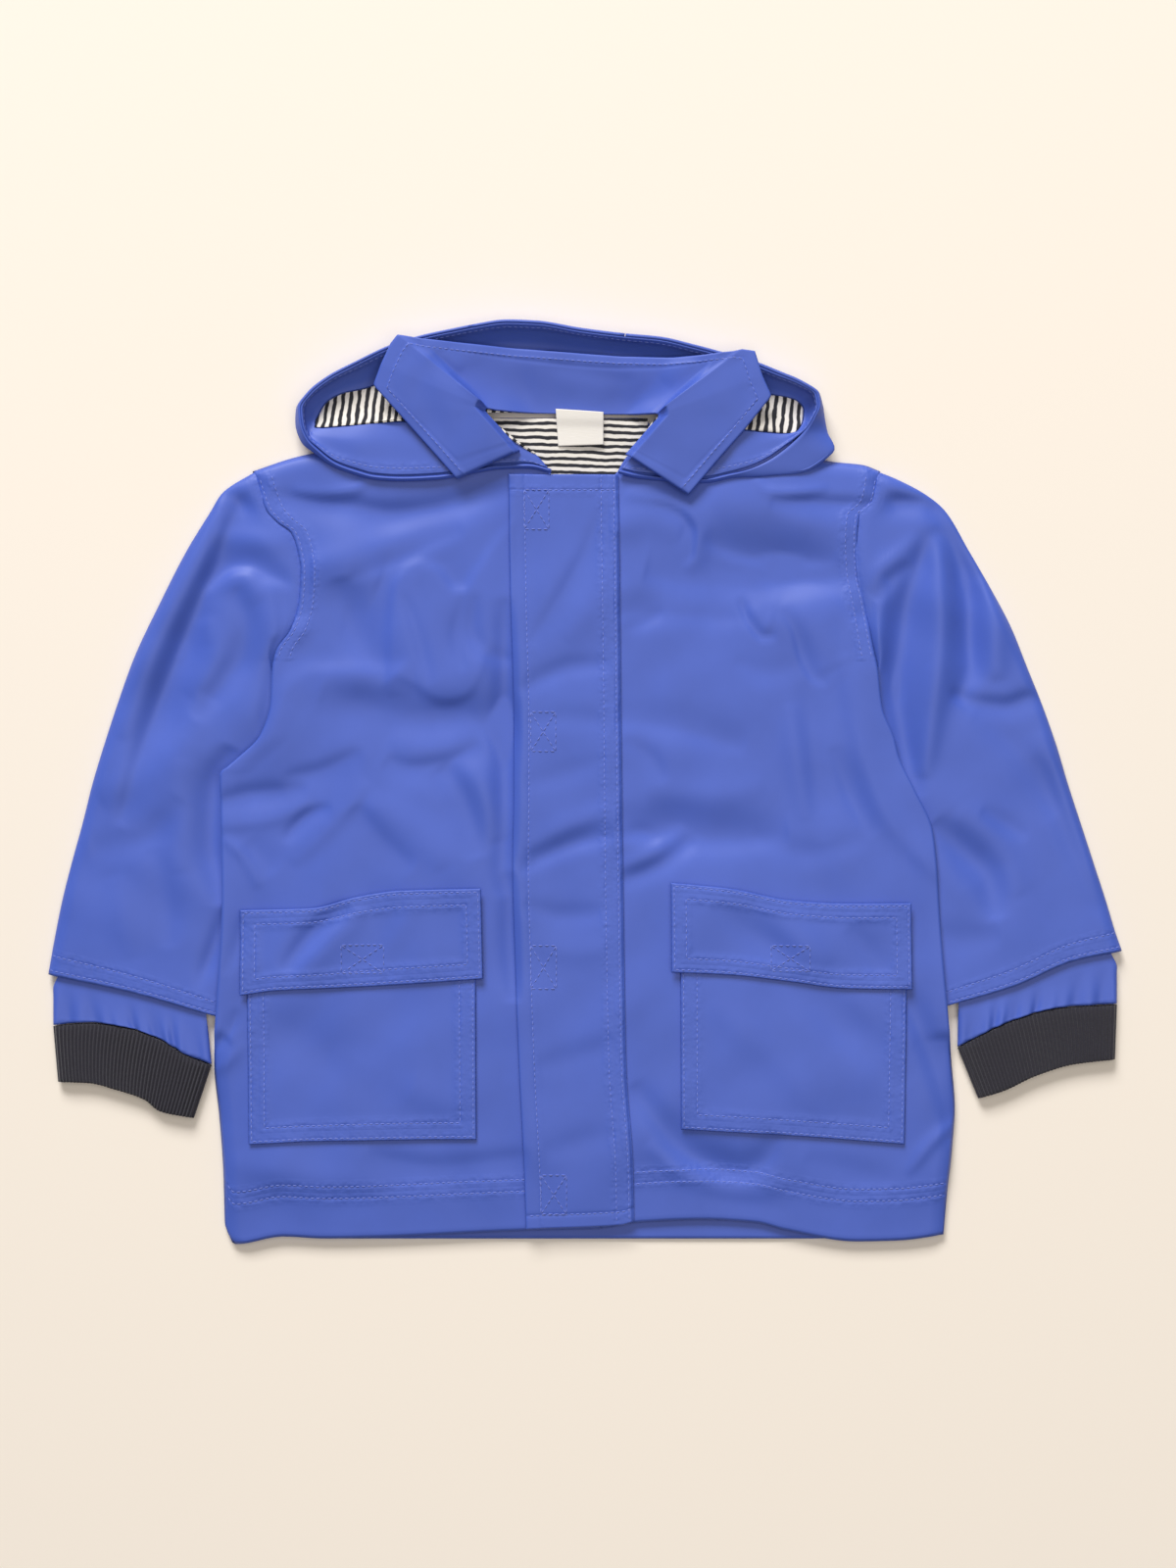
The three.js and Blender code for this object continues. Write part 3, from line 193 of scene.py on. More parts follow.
def striped_jersey(name, pitch, wobble):
    material, tree, shader = new_material(name, STRIPE_WHITE, 0.92, sheen=0.1)
    cut = add(tree, "UVMap", uv_map="cut").outputs[0]
    flat = add(tree, "SeparateXYZ", {0: cut})
    place = millimetres(tree)
    sway = add(tree, "TexNoise", {"Vector": place, "Scale": 1 / SWAY_LENGTH, "Detail": 2.0}).outputs[0]
    drift = add(tree, "Math", {0: sway, 1: wobble}, operation="MULTIPLY").outputs[0]
    along = add(tree, "Math", {0: flat.outputs[0], 1: drift}, operation="ADD").outputs[0]
    repeat = add(tree, "Math", {0: along, 1: pitch}, operation="DIVIDE").outputs[0]
    part = add(tree, "Math", {0: repeat}, operation="FRACT").outputs[0]
    away = add(tree, "Math", {0: part, 1: 0.5}, operation="SUBTRACT").outputs[0]
    away = add(tree, "Math", {0: away}, operation="ABSOLUTE").outputs[0]
    low, high = DARK_SHARE / 2 - STRIPE_BLUR, DARK_SHARE / 2 + STRIPE_BLUR
    dark = add(tree, "MapRange", {0: away, 1: low, 2: high, 3: 1.0, 4: 0.0})
    colour = add(tree, "Mix", {0: dark.outputs[0], 6: linear(STRIPE_WHITE), 7: linear(STRIPE_BLACK)},
                 data_type="RGBA")
    tree.links.new(colour.outputs[2], shader.inputs["Base Color"])
    knit = add(tree, "TexNoise", {"Vector": place, "Scale": 1 / JERSEY_LOOP, "Detail": 1.0})
    bump = add(tree, "Bump", {"Strength": 0.6, "Distance": 0.2 * MM, "Height": knit.outputs[0]})
    tree.links.new(bump.outputs[0], shader.inputs["Normal"])
    return material


neck_jersey = striped_jersey("cotton jersey, striped, neck", pitch=3.5, wobble=2.2)
hood_jersey = striped_jersey("cotton jersey, striped, hood", pitch=4.1, wobble=3.0)

# %% [markdown]
# The label is a blank woven tape: satin threads across, so fine that only a faint ribbing shows. The
# sewing thread is polyester, a shade lighter than the cloth, because it is round and catches the light.

# %% Woven tape and sewing thread
TAPE_WHITE = "f0ede8"
woven_tape, tree, shader = new_material("woven tape, white", TAPE_WHITE, 0.65, sheen=0.2)
place = millimetres(tree)
stretched = add(tree, "Mapping", {"Vector": place, "Scale": (0.3, 4.0, 1.0)})
threads = add(tree, "TexNoise", {"Vector": stretched.outputs[0], "Scale": 1.0, "Detail": 1.0})
bump = add(tree, "Bump", {"Strength": 0.4, "Distance": 0.15 * MM, "Height": threads.outputs[0]})
tree.links.new(bump.outputs[0], shader.inputs["Normal"])

THREAD_BLUE = "7688dc"
thread, tree, shader = new_material("polyester thread, blue", THREAD_BLUE, 0.5, sheen=0.1)
place = millimetres(tree)
twist = add(tree, "TexNoise", {"Vector": place, "Scale": 2.5, "Detail": 1.0})
bump = add(tree, "Bump", {"Strength": 0.3, "Distance": 0.05 * MM, "Height": twist.outputs[0]})
tree.links.new(bump.outputs[0], shader.inputs["Normal"])
print("finishes:", len(bpy.data.materials))

# %% [markdown]
# ## The table and the light
#
# The table is a plane in warm white. The photo's light is very soft and comes from the top of the picture,
# a little from the left, so one big area light stands there. A weak one hangs above the coat, and a pale
# sky fills the rest.

# %% Table and light
FLOOR_CREAM = "f8f0e6"
FLOOR_SIZE = 8000
FLOOR_DROP = 0.2

bpy.context.scene.view_settings.view_transform = "Standard"


def mesh_object(name, corners, faces, finish):
    """A smooth object in the scene, from corners in millimetres and the corners' numbers for each face."""
    mesh = bpy.data.meshes.new(name)
    mesh.from_pydata((np.array(corners) * MM).tolist(), [], faces)
    mesh.shade_smooth()
    mesh.materials.append(finish)
    made = bpy.data.objects.new(name, mesh)
    bpy.context.scene.collection.objects.link(made)
    return made


paper, tree, shader = new_material("painted table, cream", FLOOR_CREAM, 0.9)
shader.inputs["Specular IOR Level"].default_value = 0.1
half = FLOOR_SIZE / 2
floor_corners = [(x, y, -FLOOR_DROP) for x, y in ((-half, -half), (half, -half), (half, half), (-half, half))]
mesh_object("table", floor_corners, [(0, 1, 2, 3)], paper)


def area_light(name, place, size, watts, colour):
    """A square light at a place in millimetres that looks at the middle of the coat."""
    data = bpy.data.lights.new(name, "AREA")
    data.shape = "RECTANGLE"
    data.size, data.size_y = size[0] * MM, size[1] * MM
    data.energy = watts
    data.color = linear(colour)[:3]
    light = bpy.data.objects.new(name, data)
    light.location = Vector(place) * MM
    light.rotation_euler = (-light.location).to_track_quat("-Z", "Y").to_euler()
    bpy.context.scene.collection.objects.link(light)
    return light


area_light("window", (-1100, 4200, 2700), (2600, 1900), 281, "fffdfa")
area_light("ceiling", (300, 0, 2600), (2200, 2200), 29, "fff8ee")
world = bpy.data.worlds.new("room")
world.use_nodes = True
world.node_tree.nodes["Background"].inputs["Color"].default_value = linear("fffaf5")
world.node_tree.nodes["Background"].inputs["Strength"].default_value = 0.144
bpy.context.scene.world = world

# %% [markdown]
# ## Curves from short tables
#
# Every outline of the coat is a short table of measured places. A curve through them must not swing out
# beyond them, as a plain cubic would, so the slope at each place is the harmonic mean of its neighbours'
# slopes, and zero where the line turns back.

# %% Curve helpers
def numbers(text):
    """The numbers of a text, with or without commas and colons between them."""
    return [float(word) for word in text.replace(",", " ").replace(":", " ").split()]


def columns(names, rows):
    """A table as a dictionary of columns. Its rows are lists, or text with the numbers in order."""
    names = names.split()
    if isinstance(rows, str):
        rows = np.reshape(numbers(rows), (-1, len(names)))
    return dict(zip(names, np.array(rows, float).T))


def places(text):
    """Places from a text such as "3 4, 5 6"."""
    return np.reshape(numbers(text), (-1, 2))


def curve(data, by, give):
    """A function that reads column `give` of a table where column `by` has a value."""
    order = np.argsort(data[by])
    at, value = data[by][order], data[give][order]
    rise = np.diff(value) / np.diff(at)
    product, total = rise[:-1] * rise[1:], rise[:-1] + rise[1:]
    inner = np.where(product > 0, 2 * product / np.where(total == 0, 1, total), 0)
    slope = np.concatenate([rise[:1], inner, rise[-1:]])

    def read(x):
        x = np.clip(x, at[0], at[-1])
        i = np.clip(np.searchsorted(at, x, side="right") - 1, 0, len(at) - 2)
        step = at[i + 1] - at[i]
        t = (x - at[i]) / step
        bend = t * t * (3 - 2 * t)
        lift = t * (1 - t) * step * ((1 - t) * slope[i] - t * slope[i + 1])
        return value[i] * (1 - bend) + value[i + 1] * bend + lift
    return read


def line_curve(points):
    """A soft line through places in order: a function from the share of its length to x and y."""
    points = np.array(points, float)
    far = np.concatenate([[0], np.cumsum(np.hypot(*np.diff(points, axis=0).T))])
    data = {"share": far / far[-1], "x": points[:, 0], "y": points[:, 1]}
    x, y = curve(data, "share", "x"), curve(data, "share", "y")
    return lambda s: np.stack([x(s), y(s)], axis=-1)


def mix(a, b, t):
    return a + (b - a) * t


def ease(t):
    t = np.clip(t, 0, 1)
    return t * t * (3 - 2 * t)


def quarter(distance, width):
    """A quarter round: 0 at an edge and 1 from `width` inwards."""
    return np.sqrt(1 - (1 - np.clip(distance / width, 0, 1)) ** 2)


# %% [markdown]
# ## Folds
#
# A crease in coated cloth is a soft ridge or trough along a bent line. It is deepest in the middle, dies
# out at both ends, and one side is often steeper than the other. Each is one row: how high it rises (a
# trough has a negative rise), how wide it is, how much it leans, and the places that it runs through. The
# height of the cloth is the sum of them all. A cloth simulation would give folds too, but not the ones in
# the photo.

# %% Height of a table of folds
PATH_STEPS = 8


def away_from(path, x, y):
    """Distance from a bent line, the share along it, and the side: 1 to its left and -1 to its right."""
    if len(path) > 2:
        path = line_curve(path)(np.linspace(0, 1, PATH_STEPS * (len(path) - 1) + 1))
    lengths = np.hypot(*np.diff(path, axis=0).T)
    starts = np.concatenate([[0], np.cumsum(lengths)])
    best = np.full(np.shape(x), 1e9)
    share, side = np.zeros(np.shape(x)), np.zeros(np.shape(x))
    for (x0, y0), (x1, y1), length, start in zip(path[:-1], path[1:], lengths, starts):
        ux, uy = (x1 - x0) / length, (y1 - y0) / length
        t = np.clip((x - x0) * ux + (y - y0) * uy, 0, length)
        dx, dy = x - x0 - t * ux, y - y0 - t * uy
        distance = np.hypot(dx, dy)
        nearer = distance < best
        best = np.where(nearer, distance, best)
        share = np.where(nearer, (start + t) / starts[-1], share)
        side = np.where(nearer, np.sign(ux * dy - uy * dx), side)
    return best, share, side


def fold_table(text):
    """A table of folds from text, one to a line: rise, width, lean, then the places of its path."""
    rows = [numbers(line) for line in text.splitlines() if line.strip() and not line.strip().startswith("#")]
    return [(rise, width, lean, np.reshape(path, (-1, 2))) for rise, width, lean, *path in rows]


FADE = 0.6
FOLD_REACH = 4
END_WIDTH = 0.55


def fold_height(folds, x, y):
    """Height that a table of folds adds at x and y. `lean` makes the left side of a fold's line wider."""
    height = np.zeros(np.shape(x))
    for rise, width, lean, path in folds:
        low, high = path.min(axis=0) - FOLD_REACH * width, path.max(axis=0) + FOLD_REACH * width
        near = (x > low[0]) & (x < high[0]) & (y > low[1]) & (y < high[1])
        distance, share, side = away_from(path, x[near], y[near])
        fade = np.sin(np.pi * share) ** FADE
        reach = width * (1 + lean * side) * mix(END_WIDTH, 1, fade)
        height[near] += rise * fade * np.exp(-(distance / reach) ** 2)
    return height


RIPPLE = 0.5


def ripple(x, y):
    """The slight unevenness that no cloth is without."""
    waves = [(0.055, 0.021, 0.3), (-0.032, 0.062, 1.9), (0.094, -0.071, 4.0), (0.021, 0.118, 2.6),
             (0.13, 0.05, 5.1), (-0.11, 0.15, 0.7), (0.19, 0.03, 3.3)]
    x, y = x + 9 * np.sin(y / 31 + 1), y + 11 * np.sin(x / 27 + 2)
    return sum(np.sin(a * x + b * y + phase) / (1 + 14 * np.hypot(a, b)) for a, b, phase in waves) * RIPPLE


# %% [markdown]
# ## Sheets
#
# A sheet is a function of two shares, `u` down the piece and `v` across it, that gives a place in
# millimetres. The function is read on a grid whose lines lie closer together at hems and rows of stitches,
# the places become a mesh, and a Solidify modifier gives the cloth its thickness, always away from the face
# that shows. This way the fine mesh follows the same named sizes as the plain solid below it.

# %% Sheet helpers
CLOTH = 0.9
LEAST_STEP = 0.22
EDGE_LINE = 0.8
PUCKER_WIDTH = 2.4


def lines(length, step, dense=(), near=EDGE_LINE):
    """Shares of a length: one each `step` mm, with more at the distances in `dense`."""
    even = np.linspace(0, 1, max(2, int(round(length / step)) + 1))
    extra = [(d + k) / length for d in dense for k in (-near, -near / 2, 0, near / 2, near)]
    shares = np.unique(np.round(np.concatenate([even, extra]), 6))
    shares = shares[(shares >= 0) & (shares <= 1)]
    keep = np.concatenate([[True], np.diff(shares) > LEAST_STEP / length])
    keep[-1] = True
    return shares[keep]


def both_ends(length, rows):
    """Distances of rows from both ends of a length, with one more beside each end."""
    near = [*rows, EDGE_LINE]
    return near + [length - row for row in near]


def groove(distance, depth=0.28, half=0.75):
    """The small valley that a row of stitches pulls."""
    return -depth * np.exp(-(distance / half) ** 2)


def grooves(distance, rows, depth=0.28):
    return sum(groove(distance - row, depth) for row in rows)


def nearest(distance, rows):
    """How far away the nearest of some sewn rows is."""
    return np.minimum.reduce([np.abs(distance - row) for row in rows])


def xyz(x, y, z):
    return np.stack(np.broadcast_arrays(x, y, z), axis=-1)


def sheet(node, name, place, down, across, thickness=CLOTH, finish=shell_cloth, faces_up=True,
          ring=False, seam=None, stripes=None):
    """Makes the sheet that takes a node's place. `seam(u, v)` says how far each point is from the nearest
    sewn line, and `stripes(points)` gives the coordinate that striped cloth is knitted along."""
    u, v = np.meshgrid(down, across, indexing="ij")
    points = place(u, v)
    n, m = u.shape
    index = np.arange(n * m).reshape(n, m)
    if ring:
        index = np.concatenate([index, index[:, :1]], axis=1)
    quads = np.stack([index[:-1, :-1], index[:-1, 1:], index[1:, 1:], index[1:, :-1]], axis=-1).reshape(-1, 4)
    flat = points.reshape(-1, 3)
    a, b, c = (flat[quads[:, k]] for k in (0, 1, 2))
    upward = np.cross(b - a, c - a)[:, 2]
    if ring:
        shows = (upward * (flat[quads].mean(axis=1)[:, 2] - flat[:, 2].mean())).sum() > 0
    else:
        shows = (upward.sum() > 0) == faces_up
    quads = quads if shows else quads[:, ::-1]
    cloth = mesh_object(name.replace(" ", "_"), flat, quads.tolist(), finish)
    mesh = cloth.data
    pucker = np.zeros(n * m) if seam is None else np.exp(-(seam(u, v).reshape(-1) / PUCKER_WIDTH) ** 2)
    mesh.attributes.new("pucker", "FLOAT", "POINT").data.foreach_set("value", pucker.astype(np.float32))
    if stripes is not None:
        layer = mesh.uv_layers.new(name="cut")
        corner_points = np.zeros(len(mesh.loops), np.int32)
        mesh.loops.foreach_get("vertex_index", corner_points)
        cut = np.stack([stripes(flat), flat[:, 1]], axis=-1)[corner_points]
        layer.data.foreach_set("uv", cut.astype(np.float32).ravel())
    solid = cloth.modifiers.new("thickness", "SOLIDIFY")
    solid.thickness = thickness * MM
    solid.offset = -1
    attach(cloth, "root")
    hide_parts(node)
    diagonals = [flat[quads[:, k + 2]] - flat[quads[:, k]] for k in (0, 1)]
    area = np.linalg.norm(np.cross(*diagonals), axis=1).sum() / 2 * MM * MM
    print(f"{cloth.name}: {len(quads)} faces, {area:.4f} square metres or so")


# %% [markdown]
# ## Stitches
#
# Topstitching is what makes a raincoat look sewn: rows of short threads, each about 2.3 mm long, that dip
# into the cloth between two needle holes. Each row follows a line on its sheet, so a row is given by the
# sheet's own function and two shares, and it lies a hair above the cloth. All the stitches of a group are
# joined in one mesh.

# %% Stitch helpers
STITCH_PITCH = 2.9
STITCH_LENGTH = 2.25
THREAD_WIDTH = 0.46
THREAD_SIDES = 5
FIRST_HOLE = 0.12
STITCH_SHAPE = [(0.0, 0.35, -0.1), (0.3, 1.0, 0.12), (0.7, 1.0, 0.12), (1.0, 0.35, -0.1)]
stitch_rows = {}


def sew(group, points):
    """Adds a row of stitches along a dense line of places to a group."""
    points = np.asarray(points, float)
    far = np.concatenate([[0], np.cumsum(np.linalg.norm(np.diff(points, axis=0), axis=1))])
    count = int(far[-1] / STITCH_PITCH)
    if count < 1:
        return
    starts = (np.arange(count) + FIRST_HOLE) * far[-1] / count

    def at(d):
        return np.stack([np.interp(d, far, points[:, k]) for k in range(3)], axis=-1)

    rings = []
    along = at(np.minimum(starts + STITCH_LENGTH, far[-1])) - at(starts)
    along /= np.linalg.norm(along, axis=1, keepdims=True) + 1e-9
    beside = np.cross(along, (0, 0, 1))
    beside /= np.linalg.norm(beside, axis=1, keepdims=True) + 1e-9
    above = np.cross(beside, along)
    for share, girth, lift in STITCH_SHAPE:
        middle = at(np.minimum(starts + STITCH_LENGTH * share, far[-1])) + above * lift
        for k in range(THREAD_SIDES):
            angle = 2 * np.pi * k / THREAD_SIDES
            offset = beside * np.cos(angle) + above * np.sin(angle)
            rings.append(middle + offset * girth * THREAD_WIDTH / 2)
    stitch_rows.setdefault(group, []).append(np.stack(rings, axis=1))


def sewn_line(place, start, end, count=160):
    """Places along a straight line between two pairs of shares on a sheet."""
    t = np.linspace(0, 1, count)
    return place(mix(start[0], end[0], t), mix(start[1], end[1], t))


def stitching(group):
    """The joined mesh of a group's stitches."""
    stitches = np.concatenate(stitch_rows[group])
    count, ring, rings = len(stitches), THREAD_SIDES, len(STITCH_SHAPE)
    one = [(j * ring + k, j * ring + (k + 1) % ring, (j + 1) * ring + (k + 1) % ring, (j + 1) * ring + k)
           for j in range(rings - 1) for k in range(ring)]
    faces = (np.array(one)[None] + (np.arange(count) * rings * ring)[:, None, None]).reshape(-1, 4)
    made = mesh_object(group.replace(" ", "_"), stitches.reshape(-1, 3), faces.tolist(), thread)
    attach(made, "root")
    print(f"{group}: {count} stitches")
    return made


# %% [markdown]
# ## The body's outline
#
# These are the solid's own tables: the two sides, the hem, the shoulder line with the neck, and the two
# edges of the placket.

# %% Outline tables
RIGHT_SIDE = columns("y x", """
    -236 -180, -229 -184, -215 -184.5, -198 -185, -171 -187, -145 -189.5, -114 -188, -60 -185, -24 -185.5,
    4 -186, 11 -178.5, 24 -165.5, 39 -160.5, 57 -159.5, 67 -157.5, 78 -150, 92.5 -146, 108 -145, 120 -147,
    128 -150, 134 -157, 140 -163, 159 -170""")
LEFT_SIDE = columns("y x", """
    -234 183, -211 185, -188 187.5, -166 189, -145 187.5, -119 185, -80 181.5, -41 179, -24 177, -5 168.5,
    13 160, 23 157.5, 38 151.5, 58 149, 70 146.5, 88 143.5, 107 140, 125 139, 136 140, 144 148, 159 151""")
FRONT_HEM = columns("x y", """
    -184 -230, -179 -236, -154 -232, -133 -233, -30 -229, 7 -228, 26 -225, 60 -223.5, 87 -225, 103 -229,
    139 -234.5, 160 -234, 184 -231""")
SHOULDER = columns("x y", """
    -170 159, -147 166.5, -100 175.5, -53 184, -43 179, -33 173, -26 168, -21 163, -17 157, 15 157, 19 163,
    24 170, 30 177, 37 184, 80 174.5, 126 164, 142 162.3, 151 159""")
PLACKET_EDGE = columns("y x", """
    -228 -30, -198 -31, -145 -33.6, -93 -35.6, -41 -37, -8 -36.5, 32 -36.5, 92 -38, 157 -39""")
PLACKET_SEAM = columns("y x", """
    -226 25, -198 24.5, -145 21, -93 20, -41 19.3, 25 18.5, 79 18, 157 17""")
SIDE_DROP = columns("y drop", """
    -236 3.2, -150 3.6, -138 2.6, -125 -1.6, 52 -1.6, 76 -1.6, 88 0.2, 140 0.2, 150 2.6, 159 3.8""")
right_side, left_side = curve(RIGHT_SIDE, "y", "x"), curve(LEFT_SIDE, "y", "x")
front_hem, shoulder = curve(FRONT_HEM, "x", "y"), curve(SHOULDER, "x", "y")
placket_edge, placket_seam = curve(PLACKET_EDGE, "y", "x"), curve(PLACKET_SEAM, "y", "x")
side_drop = curve(SIDE_DROP, "y", "drop")

SHELL_WALL = 1.8
BACK_TOP = SHELL_WALL
FRONT_TOP = 6.8
HEM_SINK = 2.0
SINK_LENGTH = 45
SMOOTH_HEM = 30
EDGE_ROLL = 9
SHOULDER_ROLL = 3.8
LIFT_WIDTH = 17
SEAM_GAP = 0.3
NECK_X = -8
NECK_HALF = 45
NECK_BLEND = 12
CENTRE_X = 7.8
ARMPIT_Y = 66
HALF_WIDTH = 175
PLACKET_TOP_Y = 157
PATCH_WALL = 1.4

# %% [markdown]
# ## The fronts
#
# Both fronts are one landscape: a low plateau over the back, rolled down at the sides, with the coat's main
# folds and, on top of them, the lesser creases that the photo shows. A pocket, a flap and the placket lie on
# the same landscape, a little higher, so they take its folds over.

# %% Folds of the fronts: rise, width, lean, path
RIGHT_FRONT_FOLDS = fold_table("""
    # chest: the hollow below the hood, and the drag line across
    -3.2 9 -0.3: -162 146, -123 141, -98 137, -78 139, -58 145, -30 152
    1.2 3.4 0: -150 149, -133 147, -118 149, -110 157
    1.4 11 -0.1: -150 106, -108 118, -80 129, -60 136, -20 156
    -1.2 6 0.3: -120 104, -98 113, -80 122, -62 129
    # chest: the puffed tongue and its rim
    1.35 8.5 -0.6: -99 44, -98 75, -96 98, -91 107, -84 110, -76 106, -68 97, -62 96, -54 106, -46 119, -30 140
    1.6 15 0: -88 108, -80 80, -70 40
    -1.0 4 0.3: -93 96, -86 76, -79 50
    -0.7 3.4 0: -62 96, -66 76, -62 56
    0.9 8 0.6: -98 56, -86 51, -77 45, -69 43, -61 46, -55 56, -50 70
    -2.4 11 0.2: -126 104, -122 90, -113 70, -98 54
    2.2 16 -0.2: -140 110, -120 109, -104 103
    -1.2 5 0: -56 96, -58 80, -50 66, -36 62
    # the long ridge from the side, up round the armpit and across
    2.1 11 -0.3: -196 2, -178 8, -166 17, -158 29, -152 43, -145 51, -136 54, -116 54, -88 56
    -3.2 15 -0.1: -134 46, -112 38, -98 33, -78 30, -58 31, -20 28
    # below it: soft crossing folds
    -2.0 8 -0.3: -102 12, -88 7, -72 9, -52 20
    1.2 9 0: -100 22, -76 20, -56 30
    -1.5 7 -0.3: -154 2, -136 5, -114 16
    -1.6 7 -0.3: -192 -12, -170 -6, -142 -4
    1.2 7 0.3: -188 -22, -160 -18, -140 -10
    -1.5 4.5 -0.3: -154 -30, -142 -17, -130 -12
    1.1 7 0.3: -150 -42, -132 -24, -110 0
    -1.5 9 -0.3: -118 -12, -106 -28, -88 -44
    1.1 9 0: -112 -8, -92 -20, -72 -44
    -1.7 9 -0.2: -74 8, -62 -8, -54 -38
    1.2 8 0: -66 12, -52 -6, -44 -30
    -0.9 8 0: -172 -30, -158 -46
    0.9 3.4 0: -184 -28, -172 -40, -166 -54
    # beside the placket
    -3.4 7 0: -41 94, -41 40, -41 -10, -43 -58
    -2.4 6 0: -39 -46, -38 -80, -36 -112
    # pocket, flap, side and hem
    1.7 6 0.3: -112 -64, -126 -76, -148 -98
    -2.1 6.5 0.2: -120 -62, -136 -74, -154 -96
    0.7 6 0: -84 -60, -96 -78, -108 -98
    -1.6 14 0: -166 -120, -132 -138, -88 -154
    0.9 10 0: -130 -138, -100 -150, -64 -168
    -0.9 3.6 0.3: -190 -138, -182 -128, -176 -116
    0.8 3.6 0: -190 -148, -182 -142, -174 -132
    -0.8 4 0: -183 -98, -177 -82, -174 -66
    -1.4 9 -0.3: -112 -190, -76 -197, -24 -190
    1.0 9 0: -180 -194, -140 -202, -100 -206""")
LEFT_FRONT_FOLDS = fold_table("""
    # chest: the puffed square by the placket and the long slope beside it
    1.6 9 0: 10 128, 32 134, 50 128
    1.6 5 0.5: 20 146, 40 144, 52 138, 58 128, 57 116, 50 108
    -3.8 16 0.35: 30 107, 56 102, 84 102, 150 107
    1.8 13 0: 50 142, 90 141, 150 138
    0.5 8 -0.2: 2 97, 36 99, 60 97, 84 100, 98 97, 116 96, 134 82
    -1.6 10 0.3: 12 88, 44 87, 84 84
    -0.6 3.6 0: 20 78, 30 81, 40 88
    -1.4 7 0.4: 60 124, 84 116, 128 113
    # chest: the bulge by the sleeve and its two drag lines
    1.2 13 0: 98 84, 118 78, 128 58
    0.4 9 -0.6: 96 100, 114 98, 127 92, 134 80, 133 63, 122 46
    -1.3 4.4 0.4: 100 88, 107 77, 111 64, 116 54, 124 50
    -1.3 3.4 0.4: 78 94, 85 80, 91 74, 98 74
    0.6 4.5 0: 84 90, 91 80, 97 86
    -0.6 6 0: 76 62, 94 56, 112 60
    # middle
    -1.4 9 0.3: 8 34, 44 29, 82 18
    0.5 10 0: 10 18, 44 14, 84 6
    -0.8 5 0: 20 22, 34 12, 40 0
    -3.3 12 0.2: 12 -19, 44 -25, 70 -28, 104 -26
    0.8 8 0: 30 -4, 62 -6, 92 -2
    -1.0 7 0: 112 52, 117 14, 122 -30
    0.9 6 0: 104 40, 108 10, 112 -20
    -1.0 6 0.3: 126 18, 136 -8, 146 -28
    1.8 9 0.2: 132 66, 140 26, 152 -12, 170 -36, 184 -50
    -0.9 7 0: 84 -28, 112 -36, 144 -28
    # beside the placket's seam, above the flap
    1.3 5 0: 16 -44, 32 -38, 52 -24
    -1.5 6 0: 18 -52, 38 -42, 56 -30
    -0.8 4 0: 16 -28, 28 -26, 38 -30
    # shoulder
    -2.4 6 -0.3: 94 144, 124 142, 160 141
    1.0 3.2 0: 86 156, 92 149, 102 147, 124 150
    # flap, pocket, side and hem
    -1.2 8 0: 66 -62, 86 -78, 108 -90
    0.9 8 0: 88 -62, 106 -76, 124 -94
    -1.1 7 0: 134 -74, 146 -88, 152 -102
    -1.1 11 0.2: 94 -94, 128 -122, 164 -156
    0.9 10 0: 64 -112, 98 -142, 122 -172
    0.7 9 0: 126 -100, 152 -122, 170 -132
    -2.0 7 0.2: 162 -104, 172 -128, 180 -150, 188 -184
    1.2 3.6 0: 192 -172, 178 -182, 164 -200
    -2.6 8 0.2: 24 -154, 40 -176, 58 -192, 78 -199, 92 -192, 98 -178
    1.3 6 0: 32 -184, 54 -202, 84 -210, 104 -204
    -1.2 7 0: 60 -212, 86 -218, 108 -220
    -0.9 8 0: 112 -192, 134 -198, 158 -204""")
PLACKET_FOLDS = fold_table("""
    -1.1 6 0.3: 10 142, 0 116, -14 92, -28 70
    0.8 7 0: 18 120, 6 96, -10 72
    -1.2 5.5 0: -34 46, -20 54, -6 59, 14 60
    -0.8 6 0: -30 30, -10 33, 14 30
    -1.8 6 0.2: -34 -46, -22 -38, -6 -31, 18 -26
    1.0 6 0: -30 -34, -10 -24, 14 -12
    -1.1 6 0: -32 -62, -12 -68, 12 -66
    0.8 7 0: -28 -80, -8 -86, 12 -84
    -0.8 7 0: -26 -146, -6 -140, 16 -132
    -0.7 7 0: -22 -188, -4 -184, 18 -178
    -0.7 6 0: -32 -2, -12 4, 12 12""")
ALL_FOLDS = RIGHT_FRONT_FOLDS + LEFT_FRONT_FOLDS
UNDER_BLEND = 5


def under_placket(x, y):
    """1 below the placket and 0 beside it: the fronts lie smoothly there."""
    return ease((x - placket_edge(y)) / UNDER_BLEND) * ease((placket_seam(y) - x) / UNDER_BLEND)


def plateau(x, y):
    """Height of the fronts, without the rolled edges."""
    above_hem = y - front_hem(x)
    sink = HEM_SINK * (1 - ease(above_hem / SINK_LENGTH))
    creases = fold_height(ALL_FOLDS, x, y) * (1 - under_placket(x, y)) + ripple(x, y)
    return FRONT_TOP - sink + ease(above_hem / SMOOTH_HEM) * creases


# %% Sizes of the sewing
HEM_ROWS = (20.5, 26.5)
ARMHOLE_ROWS = (2.2, 7.5)
ARMHOLE_ROW_DEPTH = 0.14
ARMHOLE_DIP, ARMHOLE_DIP_WIDTH = 0.45, 1.8
HEM_DIP, HEM_DIP_WIDTH = 0.45, 0.7
ARMPIT_SHARE = 0.75
FAR = 99


